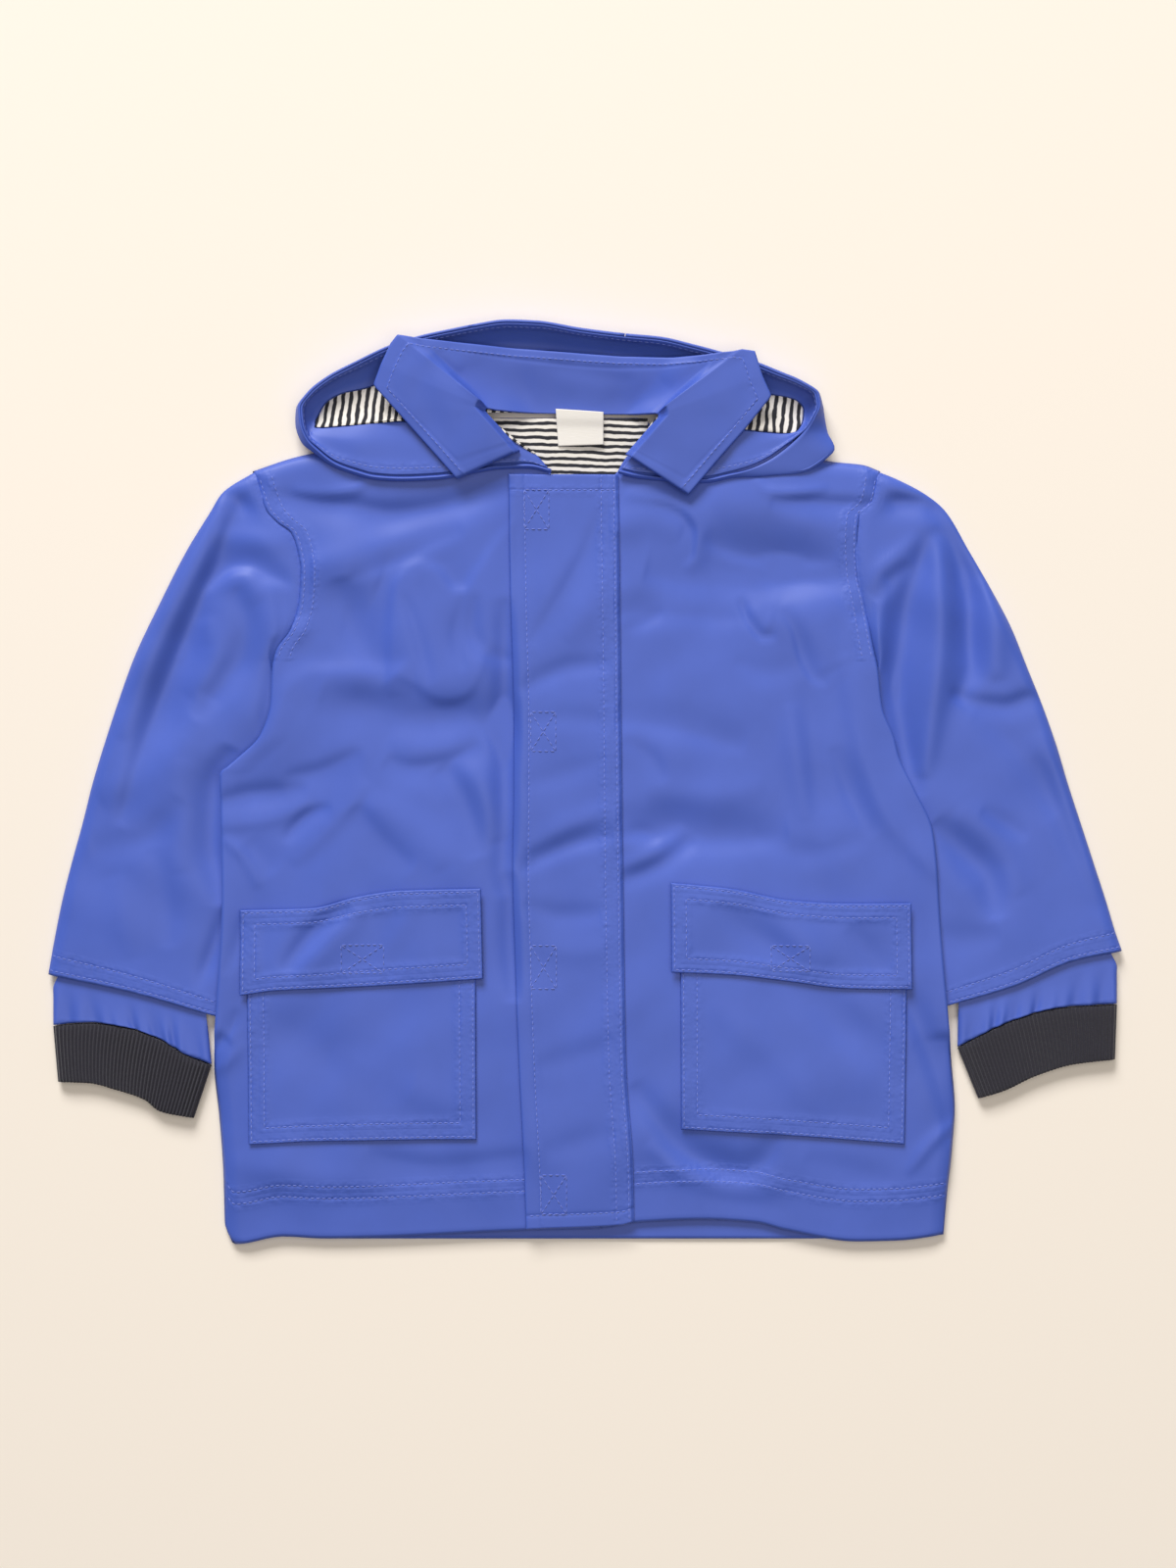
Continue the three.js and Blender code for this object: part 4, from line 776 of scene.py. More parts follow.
def front_piece(sign):
    """The place function of one front, and the distance to its sewn lines."""
    side = right_side if sign < 0 else left_side
    centre = CENTRE_X + sign * SEAM_GAP / 2

    def row_height(u, x):
        low = mix(front_hem(x), ARMPIT_Y, u / ARMPIT_SHARE)
        high = mix(ARMPIT_Y, shoulder(x), (u - ARMPIT_SHARE) / (1 - ARMPIT_SHARE))
        return np.where(u < ARMPIT_SHARE, low, high)

    def spread(u, v):
        side_x = side(row_height(u, side(row_height(u, np.full(np.shape(u), sign * HALF_WIDTH)))))
        x = mix(side_x, centre, v)
        return x, row_height(u, x), side_x

    def seam(u, v):
        x, y, side_x = spread(u, v)
        above_hem, from_side = y - front_hem(x), np.abs(x - side_x)
        armhole = np.where(y > ARMPIT_Y - 4, nearest(from_side, (0, ARMHOLE_ROWS[1])), FAR)
        return np.minimum(armhole, nearest(above_hem, HEM_ROWS))

    def place(u, v):
        x, y, side_x = spread(u, v)
        from_side = np.abs(x - side_x)
        drop = side_drop(row_height(u, side_x))
        lift = np.maximum(0, -drop) * (1 - ease(from_side / LIFT_WIDTH))
        roll = np.maximum(0, drop) * (1 - quarter(from_side, EDGE_ROLL))
        beside_neck = ease((np.abs(x - NECK_X) - NECK_HALF) / NECK_BLEND)
        below_shoulder = shoulder(x) - y
        shoulder_roll = SHOULDER_ROLL * beside_neck * (1 - quarter(below_shoulder, EDGE_ROLL))
        above_hem = y - front_hem(x)
        z = plateau(x, y) + lift - np.maximum(roll, shoulder_roll)
        z = z + grooves(above_hem, HEM_ROWS) + groove(above_hem, HEM_DIP, HEM_DIP_WIDTH)
        sewn = grooves(from_side, ARMHOLE_ROWS, ARMHOLE_ROW_DEPTH)
        sewn = sewn + groove(from_side, ARMHOLE_DIP, ARMHOLE_DIP_WIDTH)
        z = z + ease((y - ARMPIT_Y + 8) / 8) * sewn
        return xyz(x, y, np.maximum(z, BACK_TOP + SEAM_GAP + CLOTH))
    return place, seam


HALF_BODY, BODY_LENGTH = 180, 400
CHEST_SHARE = 1.15
for name, sign in (("right", -1), ("left", 1)):
    place, seam = front_piece(sign)
    down = np.unique(np.concatenate([lines(BODY_LENGTH, 1.8), lines(BODY_LENGTH, BODY_LENGTH, HEM_ROWS)]))
    sheet("front_" + name, f"{name} front", place, down, lines(HALF_BODY, 1.8, ARMHOLE_ROWS), seam=seam)
    for row in HEM_ROWS:
        u = ARMPIT_SHARE * row / (ARMPIT_Y - FRONT_HEM["y"].mean())
        sew("body stitching", sewn_line(place, (u, 0.012), (u, 0.97 if sign < 0 else 0.9)))
    for row in ARMHOLE_ROWS:
        v = row / HALF_BODY * CHEST_SHARE
        sew("body stitching", sewn_line(place, (0.745, v), (0.985, v)))

# %% [markdown]
# ## Pockets, flaps and placket
#
# These are patches sewn on top of the fronts. Each is a four-sided sheet whose top and bottom edges are
# short curves. Its height is the fronts' own height, plus its place in the stack. Round the edge the cloth
# is turned in, so a patch is thicker there, and two rows of stitches pull it down.

# %% Patches
PUFF, PUFF_FADE = 0.25, 4
EDGE_DROP, EDGE_ROUND = 0.5, 1.3
THREAD_LIFT = 0.15


def patch(bottom, top, lift, rows, edges="lrb"):
    """A four-sided patch on the fronts. `rows` are the distances of its stitch rows from the edges named in
    `edges`: left, right, bottom and top."""
    low, high = line_curve(bottom), line_curve(top)
    width, height = np.hypot(*(bottom[-1] - bottom[0])), np.hypot(*(top[0] - bottom[0]))

    def inside(u, v):
        sides = {"l": v * width, "r": (1 - v) * width, "b": u * height, "t": (1 - u) * height}
        return np.minimum.reduce([sides[k] for k in edges])

    def place(u, v):
        x, y = np.moveaxis(mix(low(v), high(v), u[..., None]), -1, 0)
        distance = inside(u, v)
        z = plateau(x, y) + lift + PUFF * (1 - ease((distance - rows[-1]) / PUFF_FADE))
        z = z - EDGE_DROP * (1 - quarter(distance, EDGE_ROUND)) + grooves(distance, rows)
        return xyz(x, y, z)

    def seam(u, v):
        return nearest(inside(u, v), rows)
    return place, seam, width, height


def sew_frame(group, place, width, height, inset, edges="lrb"):
    """A row of stitches round a patch, `inset` inside its edges."""
    s, t = inset / width, inset / height
    left, right = s if "l" in edges else 0.01, 1 - s if "r" in edges else 0.99
    low, high = t if "b" in edges else 0.01, 1 - t if "t" in edges else 0.99
    corners = [(high, left), (low, left), (low, right), (high, right), (high, left)]
    for edge, start, end in zip("lbrt", corners[:-1], corners[1:]):
        if edge in edges:
            sew(group, sewn_line(place, start, end))


def sew_crossed_box(group, height, corners):
    """The box with a cross that holds a touch fastener: corners are left, right, low and high."""
    left, right, low, high = corners
    border = [(left, low), (right, low), (right, high), (left, high), (left, low)]
    strokes = [border, [(left, low), (right, high)], [(left, high), (right, low)]]
    for stroke in strokes:
        for (x0, y0), (x1, y1) in zip(stroke[:-1], stroke[1:]):
            x, y = np.linspace(x0, x1, 30), np.linspace(y0, y1, 30)
            sew(group, xyz(x, y, height(x, y)))


POCKETS = {
    "right": {"bottom": places("-171.3 -184.5, -140 -183, -108.5 -182.5, -55.4 -182"),
              "top": places("-172.5 -70, -140 -69, -115 -64, -94 -61, -56 -60")},
    "left": {"bottom": places("49 -177, 80 -178.5, 105 -180, 162.7 -184.5"),
             "top": places("48.5 -58, 75 -60, 105 -65, 132 -67, 164.5 -67")},
}
FLAPS = {
    "right": {"bottom": places("-175.6 -108.5, -156.7 -106, -133 -105, -94 -103, -52 -100"),
              "top": places("-175.6 -65, -139.6 -64, -115 -58, -94 -55, -53 -54"),
              "box": (-124, -102.5, -97, -82.6)},
    "left": {"bottom": places("44 -96.7, 73.8 -98, 105 -101.6, 132.5 -105, 166.5 -105.5"),
             "top": places("43.7 -51, 73.8 -54, 105 -60, 132.5 -61.6, 166 -61.4"),
             "box": (94.7, 114.3, -96, -83)},
}
POCKET_LIFT = SEAM_GAP + PATCH_WALL
FLAP_LIFT = 2 * POCKET_LIFT
FLAP_ROWS = (1.6, 7.6)
POCKET_ROWS = (1.5, 8.2)

for side in ("right", "left"):
    pocket, flap = POCKETS[side], FLAPS[side]
    place, seam, width, height = patch(pocket["bottom"], pocket["top"], POCKET_LIFT, POCKET_ROWS)
    sheet("pocket_" + side, f"{side} pocket", place, lines(height, 1.8, [*POCKET_ROWS, EDGE_LINE]),
          lines(width, 1.8, both_ends(width, POCKET_ROWS)), seam=seam)
    for row in POCKET_ROWS:
        sew_frame("body stitching", place, width, height, row)

    place, seam, width, height = patch(flap["bottom"], flap["top"], FLAP_LIFT, FLAP_ROWS, edges="lrbt")
    sheet("flap_" + side, f"{side} flap", place, lines(height, 1.5, both_ends(height, FLAP_ROWS)),
          lines(width, 1.8, both_ends(width, FLAP_ROWS)), seam=seam)
    for row in FLAP_ROWS:
        sew_frame("body stitching", place, width, height, row, edges="lrbt")
    sew_crossed_box("body stitching", lambda x, y: plateau(x, y) + FLAP_LIFT + THREAD_LIFT, flap["box"])

# %% [markdown]
# The placket is a long double strip over the zip side of the coat. Its left edge is free, so the cloth
# beside it drops into shade, and its right edge is sewn. Four boxes of stitches hold its touch fasteners.

# %% Placket
PLACKET_LIFT = 0.6 + PATCH_WALL
PLACKET_BOTTOM = columns("x y", """
    -31 -228, 17.4 -226, 25.5 -224""")
FASTENERS = [(-31, -18.5, 129, 149), (-27.7, -15, 16, 36), (-27.7, -14.7, -105, -83),
             (-22.5, -9.5, -220, -200)]
PLACKET_MIDDLE_BOTTOM = -226
FREE_EDGE_LIFT = 0.7
PLACKET_LEFT_ROW = 8.0
PLACKET_RIGHT_ROWS = (2.5, 9.0)
PLACKET_TOP_ROW = 8.0
PLACKET_BOTTOM_ROW = 7.0
placket_bottom = curve(PLACKET_BOTTOM, "x", "y")


def placket_spread(u, v):
    y = mix(PLACKET_MIDDLE_BOTTOM, PLACKET_TOP_Y, u)
    x = mix(placket_edge(y), placket_seam(y), v)
    y = mix(placket_bottom(x), PLACKET_TOP_Y, u)
    return x, y, x - placket_edge(y), placket_seam(y) - x


def placket_seam_distance(u, v):
    _, y, from_left, from_right = placket_spread(u, v)
    left, top = np.abs(from_left - PLACKET_LEFT_ROW) + 2, np.abs(PLACKET_TOP_Y - y - PLACKET_TOP_ROW)
    return np.minimum.reduce([left, top, nearest(from_right, PLACKET_RIGHT_ROWS)])


def placket_height(x, y):
    return plateau(x, y) + PLACKET_LIFT + fold_height(PLACKET_FOLDS, x, y)


def placket_place(u, v):
    x, y, from_left, from_right = placket_spread(u, v)
    from_top, from_bottom = PLACKET_TOP_Y - y, y - placket_bottom(x)
    z = placket_height(x, y)
    z = z - EDGE_DROP * (1 - quarter(np.minimum.reduce([from_left, from_bottom, from_top]), EDGE_ROUND))
    z = z + FREE_EDGE_LIFT * (1 - ease((from_left - 3) / 10)) + groove(from_right, 1.0, 1.0)
    z = z + groove(from_left - PLACKET_LEFT_ROW) + groove(from_top - PLACKET_TOP_ROW)
    z = z + groove(from_bottom - PLACKET_BOTTOM_ROW) + grooves(from_right, PLACKET_RIGHT_ROWS)
    return xyz(x, y, z)


PLACKET_WIDTH, PLACKET_LENGTH = 56, 384
dense = [EDGE_LINE, PLACKET_LEFT_ROW, *(PLACKET_WIDTH - row for row in PLACKET_RIGHT_ROWS), PLACKET_WIDTH - 1]
tall = [EDGE_LINE, PLACKET_BOTTOM_ROW, PLACKET_LENGTH - PLACKET_TOP_ROW, PLACKET_LENGTH - EDGE_LINE]
sheet("placket", "storm placket", placket_place, lines(PLACKET_LENGTH, 1.7, tall),
      lines(PLACKET_WIDTH, 1.4, dense), seam=placket_seam_distance)
left_share = PLACKET_LEFT_ROW / PLACKET_WIDTH
sew("body stitching", sewn_line(placket_place, (0.02, left_share), (0.98, left_share), 500))
for row in PLACKET_RIGHT_ROWS:
    share = 1 - row / PLACKET_WIDTH
    sew("body stitching", sewn_line(placket_place, (0.005, share), (0.995, share), 500))
top_share = 1 - PLACKET_TOP_ROW / PLACKET_LENGTH
bottom_share = PLACKET_BOTTOM_ROW / PLACKET_LENGTH
sew("body stitching", sewn_line(placket_place, (top_share, left_share), (top_share, 0.98)))
sew("body stitching", sewn_line(placket_place, (bottom_share, 0.03), (bottom_share, 0.98)))
for box in FASTENERS:
    sew_crossed_box("body stitching", lambda x, y: placket_height(x, y) + THREAD_LIFT, box)

# %% [markdown]
# ## The back and the neck lining
#
# The back lies flat on the table. From above only a strip of its hem shows under the front's hem, and the
# striped lining behind the neck.

# %% Back
BACK_HEM_Y = -233.5
BACK_NECK_Y = 186.5
BACK_INSET = 0.6
TUCK = 8
SLEEVE_HEM_INSIDE_Y = -121.5
BACK_CORNER = 4


def tuck(y):
    """How far the back and the sleeves' inner edges lie inside the fronts' sides, under them."""
    return np.where(y < SLEEVE_HEM_INSIDE_Y - 1, 0, TUCK * ease((64 - y) / 40))


def inward(y):
    beside = 1.2 + 4 * ease((y - 36) / 16) + 3 * np.exp(-((y - 5) / 9) ** 2)
    return tuck(y) + np.where(y < SLEEVE_HEM_INSIDE_Y - 1, BACK_INSET, beside)


def back_place(u, v):
    def spread(level):
        x = mix(right_side(level) + inward(level), left_side(level) - inward(level), v)
        neck = ease((NECK_HALF - np.abs(x - NECK_X)) / 8)
        top = mix(shoulder(x) - BACK_INSET, BACK_NECK_Y, neck)
        corner = BACK_CORNER * ease((np.abs(x + 8) - 125) / 50)
        return x, mix(BACK_HEM_Y + corner, top, u)
    x, y = spread(mix(BACK_HEM_Y, 150, u))
    return xyz(x, y, BACK_TOP + groove(y - BACK_HEM_Y, 0.5, 0.9))


sheet("back", "back panel", back_place, lines(410, 5, [1.0]), lines(360, 5), 1.7)

LINING_WALL = 1.2
neck_line = line_curve([(-47, 176), (-40, 156), (-8, 145), (24, 156), (32, 176)])


def neck_lining_place(u, v):
    x, y = np.moveaxis(neck_line(v), -1, 0)
    y = mix(y, BACK_NECK_Y - 0.5, u)
    z = BACK_TOP + SEAM_GAP + LINING_WALL + 0.7 * np.sin(x / 9 + y / 17) * np.sin(u * np.pi) + 0.5
    return xyz(x, y, z)


sheet("back_lining", "back neck lining", neck_lining_place, lines(40, 1), lines(90, 1), 0.8, neck_jersey,
      stripes=lambda p: p[:, 1] + 0.03 * p[:, 0])

# %% [markdown]
# ## Sleeves
#
# A sleeve is a tube pressed flat. Its outline comes from four lines: the armhole, the hem, the outer fold
# and the inner fold. Each ring of the tube goes over the top and comes back underneath, and its two edges
# are rounded where the cloth folds over. The hem's edge is turned in, which the thickness takes care of.

# %% Flattened tubes
TUBE_MIDDLE = 2.6
TUBE_FOOT = 4
START_FADE = 9
ARMPIT_FADE = 60
END_FADE = 4


def four_lines(start, end, outer, inner):
    """Places between two lines across and two lines down; the lines across are felt close to them alone."""
    def flat(s, t):
        return mix(outer(t), inner(t), s[..., None])

    def place(s, t):
        zero, one = np.zeros_like(t), np.ones_like(t)
        near = ((1 - t) ** (START_FADE + ARMPIT_FADE * s ** 8))[..., None]
        far = (t ** END_FADE)[..., None]
        return flat(s, t) + near * (start(s) - flat(s, zero)) + far * (end(s) - flat(s, one))
    return place


def flat_tube(outline, top, base, outer_roll, inner_roll):
    """The place function of a tube: v runs over the top from 0 to 0.5 and back underneath from 0.5 to 1."""
    def place(u, v):
        s = np.where(v <= 0.5, 2 * v, 2 - 2 * v)
        s = np.clip(s, 0, 1)
        s = 0.5 - 0.5 * np.cos(np.pi * s) * (1 - 0.35 * np.sin(np.pi * s) ** 2)
        xy = outline(s, u)
        start, end = outline(np.zeros_like(u), u), outline(np.ones_like(u), u)
        width = np.hypot(end[..., 0] - start[..., 0], end[..., 1] - start[..., 1])
        from_outer, from_inner = s * width, (1 - s) * width
        roof = top(xy[..., 0], xy[..., 1], s, u)
        full = np.minimum(quarter(from_outer, outer_roll), quarter(from_inner, inner_roll))
        half = base(u) + TUBE_MIDDLE
        foot = quarter(np.minimum(from_outer, from_inner), TUBE_FOOT)
        z = np.where(v <= 0.5, half + (roof - half) * full, half + (base(u) - half) * foot)
        return xyz(xy[..., 0], xy[..., 1], z)
    return place


def around(count):
    """Shares round a tube, the last one left out because the ring closes on the first."""
    return np.arange(2 * count) / (2 * count)


# %% Sleeve tables
SLEEVES = {
    "right": {
        "sign": -1, "side": right_side, "shoulder_y": 159,
        "outer": places("""
            -185.5 148, -191.5 138.5, -204 118, -218 90.5, -230.5 64, -239.5 39, -246 19, -252 -1, -257 -21,
            -262.5 -41, -267.5 -61, -271.5 -81, -274.5 -98"""),
        "hem": places("-274.5 -98, -232 -107, -190 -119, -181 -121.5"),
    },
    "left": {
        "sign": 1, "side": left_side, "shoulder_y": 159,
        "outer": places("""
            159.5 155, 174.5 147, 184 139, 196 119, 207.5 99, 218 79, 226 59, 234 39, 241 19, 247 -1,
            253.5 -21, 260 -41, 266.5 -61, 271 -76, 274.5 -86"""),
        "hem": places("274.5 -86, 249.7 -91, 219 -104, 185 -114, 177 -116.5"),
    },
}
SLEEVE_FOLDS = {
    "right": fold_table("""
        2.2 7 0: -184 138, -200 108, -214 80, -226 52, -236 22
        1.0 9 0: -205 12, -208 -14, -206 -46
        -3.9 10 0.35: -172 148, -179 134, -189 108, -202 78, -213 50, -224 20, -237 -22
        -1.9 5.5 0.4: -194 98, -187 105, -180 110, -172 111, -161 106, -142 98
        1.0 6 -0.3: -194 70, -192 84, -190 96, -184 103, -176 105, -168 99, -161 95, -159 80, -163 62
        -2.4 8 0: -178 100, -173 78, -176 64, -183 53, -198 32
        1.4 8 0: -194 84, -190 64, -202 44
        -1.6 5 0: -157 74, -160 50, -164 24
        -4.0 9 0: -180 18, -189 -4, -190 -30, -185 -62
        2.0 11 0: -248 -8, -222 6, -204 22, -194 44
        -1.5 9 0: -252 -34, -228 -30, -214 -20, -206 -8
        -1.2 8 0: -220 -34, -214 -58, -212 -84
        1.0 9 0: -240 -48, -234 -70, -232 -90
        -1.8 4.5 0: -182 -62, -190 -86, -198 -106
        1.0 4 0: -176 -78, -184 -98, -188 -110
        -1.6 5 0: -188 150, -174 142, -156 136
        1.5 7 0: -190 126, -170 124, -146 122"""),
    "left": fold_table("""
        -2.8 6 -0.2: 132 142, 156 143, 178 142, 192 136
        -4.2 7.5 0: 176 142, 186 126, 193 106, 197 84, 197 62, 190 40
        -2.2 5.5 -0.2: 186 46, 198 41, 214 39, 228 43, 240 40
        -4.2 8 0: 180 130, 172 114, 165 94, 161 70, 159 46, 162 24, 170 -8
        3.6 7.5 0: 178 126, 181 104, 181 78, 178 44, 172 2
        1.3 5.5 -0.3: 144 98, 150 108, 158 115, 170 126
        -1.3 4 0: 148 92, 156 104, 166 112
        1.4 4.5 0: 153 104, 150 82, 149 54
        2.8 9 0: 205 106, 208 80, 210 52
        -1.1 8 0: 198 34, 220 18, 240 -18
        1.1 7 0: 230 26, 248 -14, 264 -62
        -1.2 6 0: 230 14, 246 -24, 266 -72
        -1.1 5 0: 202 -14, 212 -20, 226 -28
        -2.9 9 0: 178 -20, 194 -36, 206 -50, 210 -70
        1.1 9 0: 190 -14, 212 -34, 222 -58
        -1.1 8 0: 178 -76, 194 -80, 212 -78"""),
}
SLEEVE_TOP = 6.6
SLEEVE_LEAST = 2.4
ARMHOLE_DEPTH, ARMHOLE_WIDTH = 1.2, 2.6
ARMHOLE_GAP = -1.4
SLEEVE_ROWS = (2.2, 9.0)
SLEEVE_LENGTH = 255


def inner_fold(arm):
    """The sleeve's inner edge, which runs under the front."""
    side, sign, hem_end = arm["side"], arm["sign"], arm["hem"][-1]
    heights = mix(ARMPIT_Y, hem_end[1], np.array([0.06, 0.12, 0.18, 0.24, 0.3, 0.37, 0.45, 0.55, 0.68, 0.82]))
    middle = [(float(side(y) - sign * tuck(y)), float(y)) for y in heights]
    return [(float(side(ARMPIT_Y)) + sign * ARMHOLE_GAP, ARMPIT_Y), *middle, hem_end]


for name, arm in SLEEVES.items():
    side, sign = arm["side"], arm["sign"]

    def armhole(s, side=side, sign=sign, start=arm["shoulder_y"]):
        y = mix(start, ARMPIT_Y, s)
        return np.stack([side(y) + sign * ARMHOLE_GAP, y], axis=-1)

    shoulder_point = tuple(armhole(np.array(0.0)))
    outline = four_lines(armhole, line_curve(arm["hem"]), line_curve([shoulder_point, *arm["outer"]]),
                         line_curve(inner_fold(arm)))

    def top(x, y, s, t, creases=SLEEVE_FOLDS[name]):
        height = SLEEVE_TOP + ease((1 - t) * 8) * ease(t * 20) * (fold_height(creases, x, y) + ripple(y, x))
        height = np.maximum(height + grooves((1 - t) * SLEEVE_LENGTH, SLEEVE_ROWS), SLEEVE_LEAST)
        return height + groove(t * SLEEVE_LENGTH, ARMHOLE_DEPTH, ARMHOLE_WIDTH)

    def seam(u, v):
        return np.minimum(nearest((1 - u) * SLEEVE_LENGTH, SLEEVE_ROWS), u * SLEEVE_LENGTH)

    place = flat_tube(outline, top, lambda t: 0.0 * t, outer_roll=7, inner_roll=22)
    hem_rows = [SLEEVE_LENGTH - row for row in SLEEVE_ROWS]
    sheet("sleeve_" + name, f"{name} sleeve", place, lines(SLEEVE_LENGTH, 2.1, [1.0, *hem_rows]), around(80),
          ring=True, seam=seam)
    for row in SLEEVE_ROWS:
        share = 1 - row / SLEEVE_LENGTH
        sew("sleeve stitching", sewn_line(place, (share, 0.02), (share, 0.48)))

# %% [markdown]
# ## Inner sleeves and cuffs
#
# Inside each sleeve hangs a second, storm-proof one, gathered into a knitted cuff. The gathers are waves
# that grow towards the cuff, with unequal widths. The cuff's wales are real ridges that run along the arm.

# %% Inner sleeves and cuffs
INNER = {
    "right": {
        "start": places("-266.5 -84, -232 -93, -195 -104"),
        "outer": places("-266.5 -84, -268.5 -97, -272 -106, -272 -124"),
        "end": places("-272 -124, -254 -122.6, -235 -125, -217.5 -131, -204 -139, -191 -144"),
        "cuff_end": places("-269.5 -153, -254 -153.5, -239.5 -157, -225 -162, -217 -168, -200 -171.5"),
    },
    "left": {
        "start": places("264.5 -73.5, 249.7 -77.5, 219 -90, 191 -99"),
        "outer": places("264.5 -73.5, 268 -86, 272 -95, 272 -113"),
        "end": places("272 -113, 242.7 -115, 217.5 -122, 190.5 -135"),
        "cuff_end": places("271 -141.5, 249.7 -144, 230 -150, 214 -157.5, 201 -161.5"),
    },
}
INNER_SLEEVE_TOP = 4.5
INNER_SLEEVE_BASE = 1.8
CUFF_TOP = 6.2
RIBS = 42
RIB_DEPTH = 1.1
GATHERS = 6
PLEAT_MEAN, BROAD_PLEAT, SMALL_PLEAT = 0.6, 0.8, 0.22
INNER_LENGTH = 42
CUFF_LENGTH = 30


def straight(start, end):
    start, end = np.array(start, float), np.array(end, float)
    return lambda t: mix(start, end, t[..., None])


def gathers(x, y, s, t):
    broad = np.sin(2 * np.pi * GATHERS * (s + 0.045 * np.sin(9 * s) + 0.02 * np.sin(23 * s + 1)))
    small = np.sin(2 * np.pi * 2.3 * GATHERS * (s + 0.02 * np.sin(9 * s + 1)))
    out = ease((t - 0.4) / 0.6)
    pleats = out * (PLEAT_MEAN + BROAD_PLEAT * broad + SMALL_PLEAT * small * out)
    return INNER_SLEEVE_TOP + pleats + groove(1 - t, 0.8, 0.03)


def ribbed(x, y, s, t):
    ridges = RIB_DEPTH * (0.5 - 0.5 * np.cos(2 * np.pi * RIBS * s))
    return CUFF_TOP - ridges + groove(t, 0.5, 0.03) + groove(1 - t, 0.5, 0.03)


for name, shape in INNER.items():
    outline = four_lines(line_curve(shape["start"]), line_curve(shape["end"]), line_curve(shape["outer"]),
                         straight(shape["start"][-1], shape["end"][-1]))
    place = flat_tube(outline, gathers, lambda t: INNER_SLEEVE_BASE * (1 - ease((t - 0.36) / 0.3)), 4, 4)
    sheet("inner_sleeve_" + name, f"{name} inner sleeve", place, lines(INNER_LENGTH, 1.1), around(95), 0.7,
          ring=True, seam=lambda u, v: (1 - u) * INNER_LENGTH)
    start = [(x, y - 2 * SEAM_GAP) for x, y in shape["end"]]
    end = shape["cuff_end"]
    outline = four_lines(line_curve(start), line_curve(end), straight(start[0], end[0]),
                         straight(start[-1], end[-1]))
    place = flat_tube(outline, ribbed, lambda t: 0.0 * t, 4, 4)
    sheet("cuff_" + name, f"{name} cuff", place, lines(CUFF_LENGTH, 1.5, both_ends(CUFF_LENGTH, [])),
          around(RIBS * 6), 1.5, rib_knit, ring=True)

# %% [markdown]
# ## The hood
#
# The hood lies open behind the collar like a shallow bowl. Stations go round its edge from the front of
# the neck on the right to the front of the neck on the left, and at each station a path runs over the
# bowl's side: edge, flank, foot, then along what the hood rests on and in to the neck. The same stations
# carry three layers, each with its own path: the shell, the facing inside its edge, and the striped lining.

# %% Stations of the hood
HOOD = columns("rimX rimY rimZ outX outY facingX facingY neckX neckY", """
    -17.5 158.5 10.4 0 -1 -25 166.5 -29 170
    -29 161 10.4 0 -1 -35 172.5 -36 175
    -44 160.5 10.4 0 -1 -46 178 -42 180
    -56.5 158.5 10.4 0 -1 -58 180 -46 183
    -75 155.3 10.4 0 -1 -77 182 -49 185
    -93 154.5 10.4 0 -1 -95 183.5 -50.5 186.5
    -106 155.2 10.4 -0.3 -1 -107 183 -51 187.5
    -117 158 10.4 -0.5 -1 -117 182 -51 188
    -127.5 162 10.8 -1 -1 -126 181 -51 188.4
    -135.5 168 11.5 -1.5 -1 -133 180.5 -50.5 188.8
    -141 173.5 12.5 -3 -1 -138 181 -50 189
    -144.5 181 13.5 -3 0 -138 184 -49 189
    -145.5 190 14 -2 0 -136 189 -48 189
    -140.5 198 14 -1 1 -133 194 -47 189
    -130.5 206 14 -1 1 -125 199 -45 189
    -115.5 214 14 0 1.2 -112 202 -43 189
    -99 221.8 14 0 1.2 -99 207 -41 189
    -84 226.5 14 0 1.2 -82 214 -38 189
    -68 230 14 0 1.2 -66 218 -34 189
    -58 232 14 0 1.2 -54 219.5 -28 189
    -40 234.6 14 0 1.4 -38 221 -20 189
    -24 234 14 0 1.4 -22 221 -13 189
    -2 230.3 14 0 1.4 -2 219 -4 189
    20.5 227.5 14 0 1.4 18 216.5 6 189
    38.5 225.8 14 0 1.4 36 214 14 189
    55 222 14 0 1.4 52 210 20 189
    70 218 14 0 1.4 66 206 25 189
    85.5 213.6 14 0.3 1.4 80 202 29 189
    98 208.6 14 0.5 1.4 92 199 32 189
    110 203.5 14 0.5 1.4 102 197.5 35 189
    118.5 197.5 14 1 1 109 195 37 189
    119.5 191.5 14 2 0 112 190.5 38 188.5
    117 186 13.6 5.5 -1 111.5 185 38.5 188
    113 180 12.6 10.5 -1.5 107 178.5 38.5 187.5
    105 172 11.4 20 -4 100 177.5 38 187
    94 164 10.6 19 -5 91 178 37.5 186.5
    83.5 159 10.4 8 -3 82 179 37 186
    73 156 10.4 0.5 -1.2 71 180 36 185.5
    61 153.8 10.4 0 -1.2 60 180 35 184.5
    48 154 10.4 0 -1 47 180 33.5 182.5
    36.5 155 10.4 0 -1 38 177 31.5 179.5
    26 156.2 10.4 0 -1 31 172 29 176
    17 158.3 10.4 0 -1 24 165.5 26 171.5""")
HOOD["station"] = np.arange(len(HOOD["rimX"]), dtype=float)
hood_at = {name: curve(HOOD, "station", name) for name in HOOD if name != "station"}
LAST_STATION = len(HOOD["rimX"]) - 1
CENTRE_FROM, CENTRE_TO = 19, 23
HOOD_SEAM = 0.012
STATION_LENGTH = 18
SHOULDER_LEVEL = FRONT_TOP + SEAM_GAP
HOOD_WALL = 1.5
LINING_LIFT = HOOD_WALL + SEAM_GAP
FLANK_SHARE = 0.42
FACING_SHARES = (0.36, 0.68, 1)
NECK_SHARES = (0.3, 0.6, 1)
STEEP_FROM = 6.5
STEEP_SHARES = (0.75, 0.22, 0)
LINING_SWELL = (1.4, 1.0, 0)


